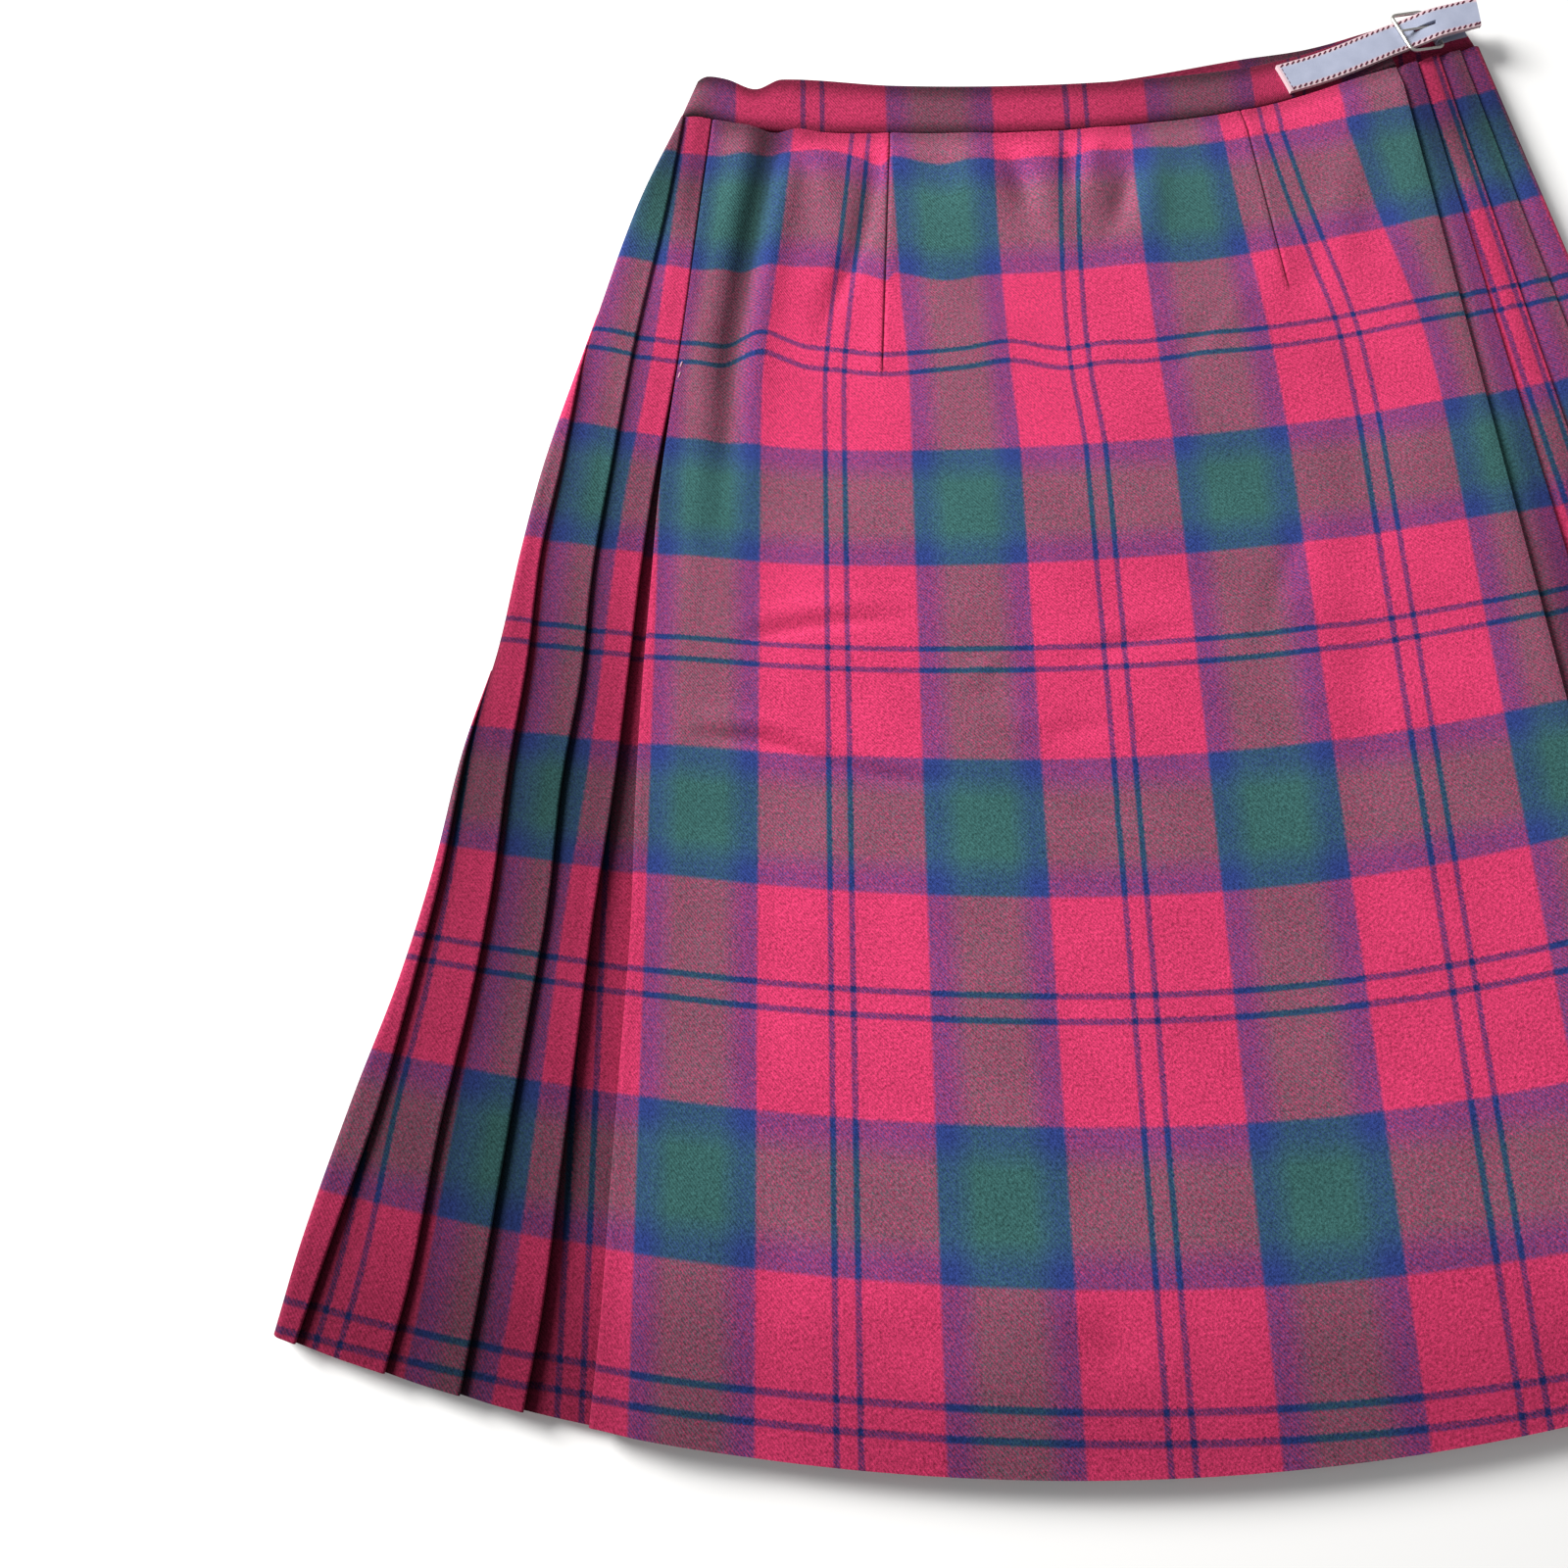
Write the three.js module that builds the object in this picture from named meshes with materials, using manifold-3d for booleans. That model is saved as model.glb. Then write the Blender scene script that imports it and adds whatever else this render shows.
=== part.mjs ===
// Knee-length kilted skirt in checked wool, lying flat with its front up.
// Millimetres. X runs across the skirt, Y from the hem up to the waist, Z up from the surface it lies on.
// The over apron covers the front, knife pleats run round the back, and a leather strap with a buckle holds
// the apron's free edge at the right of the waistband.
import * as THREE from 'three';
import { mergeVertices } from 'three/addons/utils/BufferGeometryUtils.js';
import Module from 'manifold-3d';

// Thicknesses and heights
const cloth = 1.2;
const seamGap = 0.3;
const layer = cloth + seamGap;
const halfCloth = cloth / 2;
const bandCloth = 2.4;
const frontFloor = 3 * layer + seamGap / 2;
const pleatRise = 4.2;
const pleatLow = frontFloor + halfCloth;
const pleatHigh = pleatLow + pleatRise;

// Pleats: how much of a pleat's width is folded under its neighbour
const knifeDepth = 0.36;
const backDepth = 0.55;
const backPleats = 26;
const kickUnderlay = 22;
const apronReturn = 25;
const blockOverrun = 12;

// The band stands square to the seam, so its upper edge is moved this far sideways at its two ends
const bandLean = { left: 9, right: -10 };

// Waist seam, where the cloth meets the band, and the upper edges of the band
const waistSeam = [
  { x: -54.5, y: 363 }, { x: -5, y: 353 }, { x: 58, y: 351 }, { x: 132, y: 352.5 }, { x: 200, y: 359 },
  { x: 244, y: 367 }, { x: 277, y: 377 }, { x: 310, y: 389 }, { x: 345, y: 401 }, { x: 372, y: 409 },
];
const frontBandTop = [
  { x: -54.5, y: 392 }, { x: -30, y: 386 }, { x: -15, y: 380 }, { x: -1, y: 387 }, { x: 58, y: 383 },
  { x: 122, y: 383 }, { x: 185, y: 387 }, { x: 244, y: 395 }, { x: 277, y: 404 }, { x: 310, y: 416 },
  { x: 345, y: 428 }, { x: 372, y: 436 },
];
const backBandTop = [
  { x: -54.5, y: 389 }, { x: -15, y: 376 }, { x: 58, y: 379 }, { x: 144, y: 385 }, { x: 184, y: 391 },
  { x: 244, y: 404 }, { x: 277, y: 410 }, { x: 310, y: 420 }, { x: 345, y: 430 }, { x: 372, y: 437 },
];

// Hem: a shallow bow, lowest near the middle of the apron
const hemLowX = 108;
const hemLowY = -270;
const hemBow = 5.3e-4;

// Left side, a row for each level from the waist seam (down 0) to the hem (down 1): the outline, the apron's
// left fold and the right folds of the four knife pleats. A fold left of the outline has gone round the side.
const leftSide = [
  { down: 0.00, outline: -54.5, apron: -37.0, pleat1: -37.6, pleat2: -52.0, pleat3: -72.0, pleat4: -95.0 },
  { down: 0.10, outline: -76.0, apron: -43.0, pleat1: -43.6, pleat2: -60.0, pleat3: -84.0, pleat4: -106.0 },
  { down: 0.23, outline: -96.0, apron: -50.5, pleat1: -51.1, pleat2: -73.0, pleat3: -95.8, pleat4: -116.0 },
  { down: 0.35, outline: -114.0, apron: -58.0, pleat1: -61.0, pleat2: -82.0, pleat3: -105.0, pleat4: -124.0 },
  { down: 0.43, outline: -122.5, apron: -60.5, pleat1: -66.0, pleat2: -87.6, pleat3: -112.0, pleat4: -130.0 },
  { down: 0.52, outline: -130.5, apron: -63.0, pleat1: -70.0, pleat2: -90.6, pleat3: -115.0, pleat4: -132.5 },
  { down: 0.60, outline: -142.0, apron: -64.0, pleat1: -74.0, pleat2: -96.5, pleat3: -120.0, pleat4: -139.5 },
  { down: 0.69, outline: -150.5, apron: -64.0, pleat1: -80.0, pleat2: -99.5, pleat3: -123.5, pleat4: -145.5 },
  { down: 0.77, outline: -161.0, apron: -66.0, pleat1: -84.0, pleat2: -105.0, pleat3: -129.4, pleat4: -153.7 },
  { down: 0.85, outline: -175.0, apron: -68.0, pleat1: -88.0, pleat2: -110.7, pleat3: -137.5, pleat4: -163.0 },
  { down: 0.94, outline: -189.0, apron: -70.0, pleat1: -92.5, pleat2: -117.0, pleat3: -144.0, pleat4: -177.0 },
  { down: 1.00, outline: -196.0, apron: -72.6, pleat1: -97.7, pleat2: -122.0, pleat3: -151.0, pleat4: -186.0 },
];
const foldNames = ['pleat1', 'pleat2', 'pleat3', 'pleat4'];
const levels = leftSide.map((row) => row.down);

// Right side: the apron's free edge and the outline run straight from waist to hem
const apronEdge = { waist: 324, hem: 362 };
const rightOutline = { waist: 372, hem: 475 };
const rightPleats = 4;
const underlap = 20;
const underApronStart = 45;

// The apron lies a little above what is under it, and comes down from the layers at its two sides over these
// lengths. Soft hollows in it: middle, half length and half width of each, its turn and its depth
const apronStations = 26;
const apronLift = 1.6;
const foldFall = 38;
const edgeFall = 45;
const apronHollows = [
  { x: -20, y: 285, long: 95, wide: 11, turn: 8, deep: 1.5 },
  { x: 168, y: 318, long: 34, wide: 9, turn: 0, deep: 1.3 },
  { x: 144, y: 318, long: 26, wide: 7, turn: 6, deep: 0.8 },
  { x: 5, y: 18, long: 9, wide: 36, turn: 4, deep: 0.7 },
  { x: -2, y: -205, long: 26, wide: 12, turn: 4, deep: 1.0 },
  { x: 110, y: -215, long: 24, wide: 13, turn: -4, deep: 1.0 },
  { x: 262, y: 60, long: 110, wide: 14, turn: -6, deep: 1.0 },
];

// Strap and buckle
const strapWide = 19;
const strapThick = 1.8;
const chapeThick = 1.2;
const chapeWide = 17;
const chapeLong = 17;
const chapeSlot = { long: 11, wide: 3, x: -2 };
const strapHole = { long: 13, wide: 2.4, x: 3.2, z: 14 };
const prongThick = 1.4;
const buckleAt = { x: 341, turn: 0.33 };
const barThick = 1.8;
const frameLong = 22;
const frameWide = 27;
const strapRoute = [
  { x: 259.5, z: 10.0 }, { x: 285, z: 10.2 }, { x: 305, z: 11.1 }, { x: 322, z: 12.0 }, { x: 331, z: 12.1 },
  { x: 340, z: 13.5 }, { x: 347, z: 15.0 }, { x: 353, z: 15.5 }, { x: 362, z: 15.5 }, { x: 374, z: 15.5 },
];

// Curves worked out from the tables

function mix(a, b, t) {
  return a + (b - a) * t;
}

function lookUp(table, key, at, column) {
  let row = 0;
  while (row < table.length - 2 && table[row + 1][key] < at) {
    row += 1;
  }
  const here = table[row];
  const next = table[row + 1];
  const t = THREE.MathUtils.clamp((at - here[key]) / (next[key] - here[key]), 0, 1);
  return mix(here[column], next[column], t);
}

// The same through a smooth curve, whose slope at each row is that of the line between its neighbours.
function smoothLookUp(table, x) {
  let row = 0;
  while (row < table.length - 2 && table[row + 1].x < x) {
    row += 1;
  }
  const slope = (i) => {
    const before = table[Math.max(i - 1, 0)];
    const after = table[Math.min(i + 1, table.length - 1)];
    return (after.y - before.y) / (after.x - before.x);
  };
  const here = table[row];
  const next = table[row + 1];
  const span = next.x - here.x;
  const t = THREE.MathUtils.clamp((x - here.x) / span, 0, 1);
  const startPull = span * slope(row) * t * (1 - t) ** 2;
  const endPull = span * slope(row + 1) * t ** 2 * (1 - t);
  return here.y * (1 + 2 * t) * (1 - t) ** 2 + next.y * (3 - 2 * t) * t ** 2 + startPull - endPull;
}

function seamY(x) {
  return smoothLookUp(waistSeam, x);
}

function hemY(x) {
  return hemLowY + hemBow * (x - hemLowX) ** 2;
}

function leftX(name, down) {
  return lookUp(leftSide, 'down', down, name);
}

function edgeX(down) {
  return mix(apronEdge.waist, apronEdge.hem, down);
}

function outlineX(down) {
  return mix(rightOutline.waist, rightOutline.hem, down);
}

// A lengthwise line of the cloth, given by its X at the waist and at the hem, reaches this Y at a level.
function lineY(waistX, hemX, down) {
  return mix(seamY(waistX) - seamGap / 2, hemY(hemX), down);
}

// Solids

// Closes a skin over rings that hold the same number of points. A ring goes out along one side of a wall and
// back along the other, so the caps on the first and last ring are strips between facing points.
function loft(rings) {
  const count = rings[0].length;
  const positions = rings.flat().flatMap((point) => [point.x, point.y, point.z]);
  const faces = [];
  for (let ring = 0; ring < rings.length - 1; ring += 1) {
    for (let i = 0; i < count; i += 1) {
      const a = ring * count + i;
      const b = ring * count + ((i + 1) % count);
      faces.push([a, b, b + count], [a, b + count, a + count]);
    }
  }
  const last = (rings.length - 1) * count;
  for (let i = 0; i < count / 2 - 1; i += 1) {
    const facing = count - 1 - i;
    faces.push([i + 1, i, facing], [i + 1, facing, facing - 1]);
    faces.push([last + i, last + i + 1, last + facing], [last + i + 1, last + facing - 1, last + facing]);
  }
  return closedGeometry(positions, faces);
}

// Turns the faces outwards, which they are when the volume they enclose is positive.
function closedGeometry(positions, faces) {
  const corner = (i) => new THREE.Vector3().fromArray(positions, 3 * i);
  const volume = faces.reduce((sum, [a, b, c]) => sum + corner(a).dot(corner(b).cross(corner(c))), 0);
  const geometry = new THREE.BufferGeometry();
  geometry.setAttribute('position', new THREE.Float32BufferAttribute(positions, 3));
  geometry.setIndex(faces.flatMap((face) => (volume < 0 ? [...face].reverse() : face)));
  return geometry;
}

// The two sides of a cloth path, each half a thickness from it, joined into one closed ring.
function wallRing(path, thick = cloth) {
  const sides = path.map((point, i) => {
    const here = new THREE.Vector2(point.x, point.z);
    const before = path[i - 1] ? here.clone().sub(new THREE.Vector2(path[i - 1].x, path[i - 1].z)) : null;
    const after = path[i + 1] ? new THREE.Vector2(path[i + 1].x, path[i + 1].z).sub(here) : null;
    const into = (before ?? after).normalize();
    const out = (after ?? before).normalize();
    const mitre = new THREE.Vector2(-into.y - out.y, into.x + out.x).divideScalar(1 + into.dot(out));
    return { point, mitre };
  });
  const side = ({ point, mitre }, distance) => new THREE.Vector3(
    point.x + mitre.x * distance, point.y, point.z + mitre.y * distance);
  return [
    ...sides.map((item) => side(item, thick / 2)),
    ...sides.map((item) => side(item, -thick / 2)).reverse(),
  ];
}

// One wall of cloth, whose path across the skirt is given for each level.
function clothWall(pathAt, atLevels) {
  return loft(atLevels.map((down) => wallRing(pathAt(down))));
}

// A point of a cloth path whose X is worked out the same way at every level.
function pathPoint(xAt, z, down) {
  return { x: xAt(down), y: lineY(xAt(0), xAt(1), down), z };
}

// Knife pleats whose folds face right. Each face falls from its fold to the next inner fold, and each return
// lies one layer above it. folds are functions of the level, from right to left.
function knifePleats(folds, down) {
  const points = [];
  folds.forEach((fold, i) => {
    const right = folds[i - 1] ?? fold;
    const left = folds[i + 1];
    const depth = (level) => {
      const rightPitch = i > 0 ? right(level) - fold(level) : Infinity;
      const leftPitch = left ? fold(level) - left(level) : Infinity;
      return knifeDepth * Math.min(rightPitch, leftPitch);
    };
    const inner = (level) => fold(level) - depth(level);
    const inside = (level) => fold(level) - halfCloth;
    points.push(
      pathPoint(inner, pleatLow, down),
      pathPoint(inner, pleatLow + layer, down),
      pathPoint(inside, pleatHigh - layer, down),
      pathPoint(inside, pleatHigh, down),
    );
  });
  return points;
}

// Solid arithmetic

const manifold = await Module();
manifold.setup();

function toManifold(geometry) {
  const bare = geometry.clone();
  bare.deleteAttribute('normal');
  bare.deleteAttribute('uv');
  const merged = mergeVertices(bare, 1e-4);
  return new manifold.Manifold(new manifold.Mesh({
    numProp: 3,
    vertProperties: new Float32Array(merged.attributes.position.array),
    triVerts: new Uint32Array(merged.index.array),
  }));
}

function fromManifold(solid) {
  const mesh = solid.getMesh();
  const geometry = new THREE.BufferGeometry();
  geometry.setAttribute('position', new THREE.Float32BufferAttribute(mesh.vertProperties, 3));
  geometry.setIndex(Array.from(mesh.triVerts));
  return geometry;
}

// Cloth panels

// The kick pleat's underlay and four knife pleats, cut at the left outline and closed there by the cloth that
// turns down over the side.
function leftFrontPleats() {
  const folds = foldNames.map((name) => (down) => leftX(name, down));
  const underlayEnd = (down) => leftX('apron', down) + kickUnderlay;
  const lastInner = (down) => leftX('pleat4', down) - kickUnderlay;
  const strip = clothWall((down) => [
    pathPoint(underlayEnd, pleatLow, down),
    ...knifePleats(folds, down),
    pathPoint(lastInner, pleatLow, down),
  ], levels);
  const outline = (down) => leftX('outline', down);
  const kept = clothSlab((down) => outline(down) + seamGap, (down) => underlayEnd(down) + cloth);
  const side = sideTurn(outline, folds);
  return fromManifold(toManifold(strip).intersect(toManifold(kept)).add(toManifold(side)));
}

// A block as high as the pleats between two lengthwise lines, used only to cut a strip at an outline.
function clothSlab(leftAt, rightAt) {
  const rings = levels.map((down) => {
    const left = pathPoint(leftAt, 0, down);
    const right = pathPoint(rightAt, 0, down);
    const past = blockOverrun * ((down === 0) - (down === 1));
    const corner = (point, z) => new THREE.Vector3(point.x, point.y + past, z);
    const top = pleatHigh + 2 * layer;
    return [corner(left, 0), corner(right, 0), corner(right, top), corner(left, top)];
  });
  return loft(rings);
}

// The cloth that turns down along the left outline, as high as the face that ends there.
function sideTurn(outline, folds) {
  const steps = 60;
  const inset = 0.001;
  const rings = Array.from({ length: steps + 1 }, (_, i) => {
    const down = mix(inset, 1 - inset, i / steps);
    const x = outline(down);
    const inFront = folds.map((fold) => fold(down)).filter((foldX) => foldX > x + halfCloth);
    const foldX = inFront[inFront.length - 1];
    const nextX = folds[inFront.length]?.(down) ?? foldX - kickUnderlay;
    const run = (foldX - nextX) * (1 + knifeDepth);
    const top = pleatHigh - pleatRise * Math.min((foldX - x) / run, 1) + halfCloth / 3;
    const y = pathPoint(outline, 0, down).y;
    const corner = (px, z) => new THREE.Vector3(px, y, z);
    return [corner(x, frontFloor), corner(x + cloth, frontFloor), corner(x + cloth, top), corner(x, top)];
  });
  return loft(rings);
}

// Knife pleats at the right side, whose cloth turns down over the side at the outline.
function rightFrontPleats() {
  const start = (down) => edgeX(down) - underlap;
  const side = (down) => outlineX(down) - halfCloth;
  const folds = Array.from({ length: rightPleats - 1 }, (_, i) => (
    (down) => mix(outlineX(down), edgeX(down), (i + 1) / rightPleats)
  ));
  const lastFold = folds[folds.length - 1];
  return clothWall((down) => {
    const pleats = knifePleats([side, ...folds], down).slice(4);
    return [
      pathPoint(side, frontFloor, down),
      pathPoint(side, pleatHigh, down),
      ...pleats,
      pathPoint((level) => mix(start(level), lastFold(level), knifeDepth / 3), pleatLow, down),
      pathPoint(start, pleatLow, down),
    ];
  }, levels);
}

function underApron() {
  const left = (down) => leftX('apron', down) + underApronStart;
  const right = (down) => edgeX(down) - underlap - seamGap;
  const stations = 12;
  return clothWall((down) => Array.from({ length: stations + 1 }, (_, i) => (
    pathPoint((level) => mix(left(level), right(level), i / stations), pleatLow, down)
  )), levels);
}

// Height of the apron's middle above the surface at a place: it lies on its turned edge at the left and on
// the pleats at the right, and sinks into the soft hollows between.
function apronZ(x, y, fromFold, fromEdge) {
  const flat = frontFloor + layer + halfCloth;
  const overReturn = 1 - THREE.MathUtils.smoothstep(fromFold, apronReturn, apronReturn + foldFall);
  const overPleats = 1 - THREE.MathUtils.smoothstep(fromEdge, underlap, underlap + edgeFall);
  const lift = Math.max(overReturn * layer, overPleats * layer) + apronLift;
  const hollow = apronHollows.reduce((sum, fold) => {
    const turn = THREE.MathUtils.degToRad(fold.turn);
    const dx = x - fold.x;
    const dy = y - fold.y;
    const along = (dy * Math.cos(turn) - dx * Math.sin(turn)) / fold.long;
    const aside = (dx * Math.cos(turn) + dy * Math.sin(turn)) / fold.wide;
    return sum + fold.deep * Math.exp(-(along ** 2) - aside ** 2);
  }, 0);
  return flat + lift - Math.min(hollow, apronLift);
}

function frontApron() {
  const fold = (down) => leftX('apron', down) + halfCloth;
  const returnEnd = (down) => fold(down) + apronReturn;
  const returnZ = pleatLow + layer;
  return clothWall((down) => {
    const face = Array.from({ length: apronStations + 1 }, (_, i) => {
      const xAt = (level) => mix(fold(level), edgeX(level), i / apronStations);
      const point = pathPoint(xAt, 0, down);
      point.z = apronZ(point.x, point.y, point.x - fold(down), edgeX(down) - point.x);
      return point;
    });
    return [pathPoint(returnEnd, returnZ, down), pathPoint(fold, returnZ, down), ...face];
  }, levels);
}

// The back lies face down: its 26 pleat faces rest on the surface, and each pleat's two inner layers lie
// above its face. The cloth turns up along both sides to meet the front.
function pleatedBack() {
  const faceZ = halfCloth;
  const returnZ = faceZ + layer;
  const innerZ = returnZ + layer;
  const slot = layer;
  const left = (down) => leftX('outline', down);
  const at = (share, offset) => (down) => mix(left(down), outlineX(down), share) + offset;
  const sideTop = frontFloor - seamGap;
  return clothWall((down) => {
    const points = [pathPoint(at(0, halfCloth), sideTop, down), pathPoint(at(0, halfCloth), faceZ, down)];
    for (let i = 1; i < backPleats; i += 1) {
      const share = i / backPleats;
      const foldX = at(share, -slot / 2);
      const nextX = at(share, slot / 2);
      const innerX = at(share - backDepth / backPleats, -slot / 2);
      points.push(
        pathPoint(foldX, faceZ, down), pathPoint(foldX, returnZ, down),
        pathPoint(innerX, returnZ, down), pathPoint(innerX, innerZ, down),
        pathPoint(nextX, innerZ, down), pathPoint(nextX, faceZ, down),
      );
    }
    points.push(pathPoint(at(1, -halfCloth), faceZ, down), pathPoint(at(1, -halfCloth), sideTop, down));
    return points;
  }, levels.filter((down, i) => i % 2 === 0 || down === 1));
}

// Waistband

function leanAt(x) {
  return mix(bandLean.left, bandLean.right, (x - waistSeam[0].x) / (rightOutline.waist - waistSeam[0].x));
}

// One stretch of band from the waist seam to its upper edge. heights gives the Z of its underside along X.
function bandStretch(heights, topEdge, stations) {
  const first = heights[0].x;
  const last = heights[heights.length - 1].x;
  const rings = Array.from({ length: stations + 1 }, (_, i) => {
    const x = mix(first, last, i / stations);
    const z = lookUp(heights, 'x', x, 'z');
    const low = seamY(x) + seamGap / 2;
    const lean = leanAt(x);
    const high = smoothLookUp(topEdge, x + lean);
    const at = (share, rise) => new THREE.Vector3(x + lean * share, mix(low, high, share), z + rise);
    const edge = bandCloth - cloth / 3;
    const round = 0.18;
    return [
      at(0, 0), at(1, 0), at(1, edge), at(1 - round, bandCloth), at(round, bandCloth), at(0, edge),
    ];
  });
  return loft(rings);
}

const bandHeights = {
  back: [{ x: -54.5, z: 0 }, { x: 372, z: 0 }],
  under: [
    { x: 20, z: 3.0 }, { x: 298, z: 3.0 }, { x: 325, z: 4.5 }, { x: 345, z: 5.8 }, { x: 368, z: 5.8 },
    { x: 372, z: 3.0 },
  ],
  front: [
    { x: -54.5, z: 3.0 }, { x: -49, z: 6.4 }, { x: -38, z: 7.2 }, { x: -10, z: 6.2 }, { x: 60, z: 6.0 },
    { x: 280, z: 6.0 }, { x: 298, z: 6.4 }, { x: 324, z: 8.0 },
  ],
};

function bandOf(name, topEdge, stations) {
  const lifted = bandHeights[name].map(({ x, z }) => ({ x, z: z > 0 ? z + seamGap / 2 : z }));
  return bandStretch(lifted, topEdge, stations);
}

// Strap and buckle

// The middle line of the strap along the band, a little nearer its upper edge.
function strapPoint({ x, z }) {
  const middle = 0.53;
  const y = mix(seamY(x), smoothLookUp(frontBandTop, x), middle);
  return new THREE.Vector3(x + leanAt(x) * middle, y, z);
}

// A strip along a curve, square at both ends, with its long corners taken off.
function squareStrip(curve, wide, thick, steps) {
  const corner = thick / 4;
  const rings = Array.from({ length: steps + 1 }, (_, i) => {
    const point = curve.getPointAt(i / steps);
    const along = curve.getTangentAt(i / steps);
    const aside = new THREE.Vector3(-along.y, along.x, 0).normalize();
    const up = new THREE.Vector3().crossVectors(along, aside).normalize();
    const at = (a, u) => point.clone().addScaledVector(aside, a).addScaledVector(up, u);
    const halfWide = wide / 2;
    const halfThick = thick / 2;
    return [
      at(-halfWide, corner - halfThick), at(-halfWide + corner, -halfThick),
      at(halfWide - corner, -halfThick), at(halfWide, corner - halfThick),
      at(halfWide, halfThick - corner), at(halfWide - corner, halfThick),
      at(-halfWide + corner, halfThick), at(-halfWide, halfThick - corner),
    ];
  });
  return loft(rings);
}

// The buckle's own frame: its middle on the strap's line, X along the strap.
const buckleMiddle = strapPoint({ x: buckleAt.x, z: 0 });
const buckleTurn = new THREE.Matrix4().makeRotationZ(buckleAt.turn)
  .setPosition(buckleMiddle.x, buckleMiddle.y, 0);
const heelZ = 11.5;
const tipZ = 14.5;
const barX = frameLong / 2 - barThick / 2;

function waistStrap() {
  const curve = new THREE.CatmullRomCurve3(strapRoute.map(strapPoint));
  const strap = squareStrip(curve, strapWide, strapThick, 36);
  const hole = new THREE.BoxGeometry(strapHole.long, strapHole.wide, chapeLong)
    .translate(strapHole.x, 0, strapHole.z).applyMatrix4(buckleTurn);
  return fromManifold(toManifold(strap).subtract(toManifold(hole)));
}

// A flat rectangular frame with rounded corners, its far bar raised over the strap.
function buckleFrame() {
  const outline = (target, long, wide, round) => {
    const x = long / 2 - round;
    const y = wide / 2 - round;
    target.absarc(x, y, round, 0, Math.PI / 2);
    target.absarc(-x, y, round, Math.PI / 2, Math.PI);
    target.absarc(-x, -y, round, Math.PI, Math.PI * 1.5);
    target.absarc(x, -y, round, Math.PI * 1.5, Math.PI * 2);
    target.closePath();
    return target;
  };
  const shape = outline(new THREE.Shape(), frameLong, frameWide, 3);
  shape.holes.push(outline(new THREE.Path(), frameLong - 2 * barThick, frameWide - 2 * barThick, 1.4));
  const geometry = new THREE.ExtrudeGeometry(shape, { depth: barThick, bevelEnabled: false, curveSegments: 5 });
  geometry.translate(0, 0, -barThick / 2);
  geometry.rotateY(Math.atan2(tipZ - heelZ, 2 * barX));
  geometry.translate(0, 0, (tipZ + heelZ) / 2);
  return geometry.applyMatrix4(buckleTurn);
}

// The leather loop round the buckle's heel bar, sewn on the band, with a slot for the prong.
function buckleChape() {
  const turn = barThick / 2 + seamGap * 2 + chapeThick / 2;
  const end = barX + chapeLong;
  const bend = Array.from({ length: 7 }, (_, i) => {
    const angle = Math.PI * (1.5 - i / 6);
    return { x: barX + turn * Math.cos(angle), z: heelZ + turn * Math.sin(angle) };
  });
  const path = [{ x: end, z: heelZ - turn }, ...bend, { x: end, z: heelZ + turn }];
  const rings = [-chapeWide / 2, chapeWide / 2].map((y) => (
    wallRing(path.map((point) => ({ ...point, y })), chapeThick)
  ));
  const slot = new THREE.BoxGeometry(chapeSlot.long, chapeSlot.wide, chapeLong)
    .translate(barX + chapeSlot.x, 0, heelZ);
  const solid = toManifold(loft(rings)).subtract(toManifold(slot));
  return fromManifold(solid).applyMatrix4(buckleTurn);
}

// The prong rests on the heel bar, passes up through the strap and lies on the far bar.
function buckleProng() {
  const rise = barThick / 2 + seamGap * 1.5 + prongThick / 2;
  const foot = new THREE.Vector3(barX - prongThick / 2, 0, heelZ + rise);
  const tip = new THREE.Vector3(-barX - prongThick, 0, tipZ + rise);
  return squareStrip(new THREE.LineCurve3(foot, tip), prongThick, prongThick, 1).applyMatrix4(buckleTurn);
}

// The skirt

function finish(color, roughness, metalness) {
  return new THREE.MeshStandardMaterial({ color, roughness, metalness });
}

const finishes = {
  cloth: () => finish(0x9c3a5c, 0.85, 0),
  leather: () => finish(0xa5b4c8, 0.5, 0),
  metal: () => finish(0xb9b6ae, 0.3, 1),
};

const pieces = [
  ['pleated_back', pleatedBack, 'cloth'],
  ['under_apron', underApron, 'cloth'],
  ['right_front_pleats', rightFrontPleats, 'cloth'],
  ['left_front_pleats', leftFrontPleats, 'cloth'],
  ['front_apron', frontApron, 'cloth'],
  ['waistband_back', () => bandOf('back', backBandTop, 30), 'cloth'],
  ['waistband_under', () => bandOf('under', backBandTop, 28), 'cloth'],
  ['waistband_front', () => bandOf('front', frontBandTop, 48), 'cloth'],
  ['waist_strap', waistStrap, 'leather'],
  ['buckle_chape', buckleChape, 'leather'],
  ['buckle_frame', buckleFrame, 'metal'],
  ['buckle_prong', buckleProng, 'metal'],
];

const skirt = new THREE.Group();
pieces.forEach(([name, shape, material]) => {
  const mesh = new THREE.Mesh(shape(), finishes[material]());
  mesh.name = name;
  skirt.add(mesh);
});

// The origin is in the middle of the skirt's box, on the surface it lies on.
const box = new THREE.Box3().setFromObject(skirt);
const middle = box.getCenter(new THREE.Vector3());
skirt.position.set(-middle.x, -middle.y, -box.min.z);

export default skirt;
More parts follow.
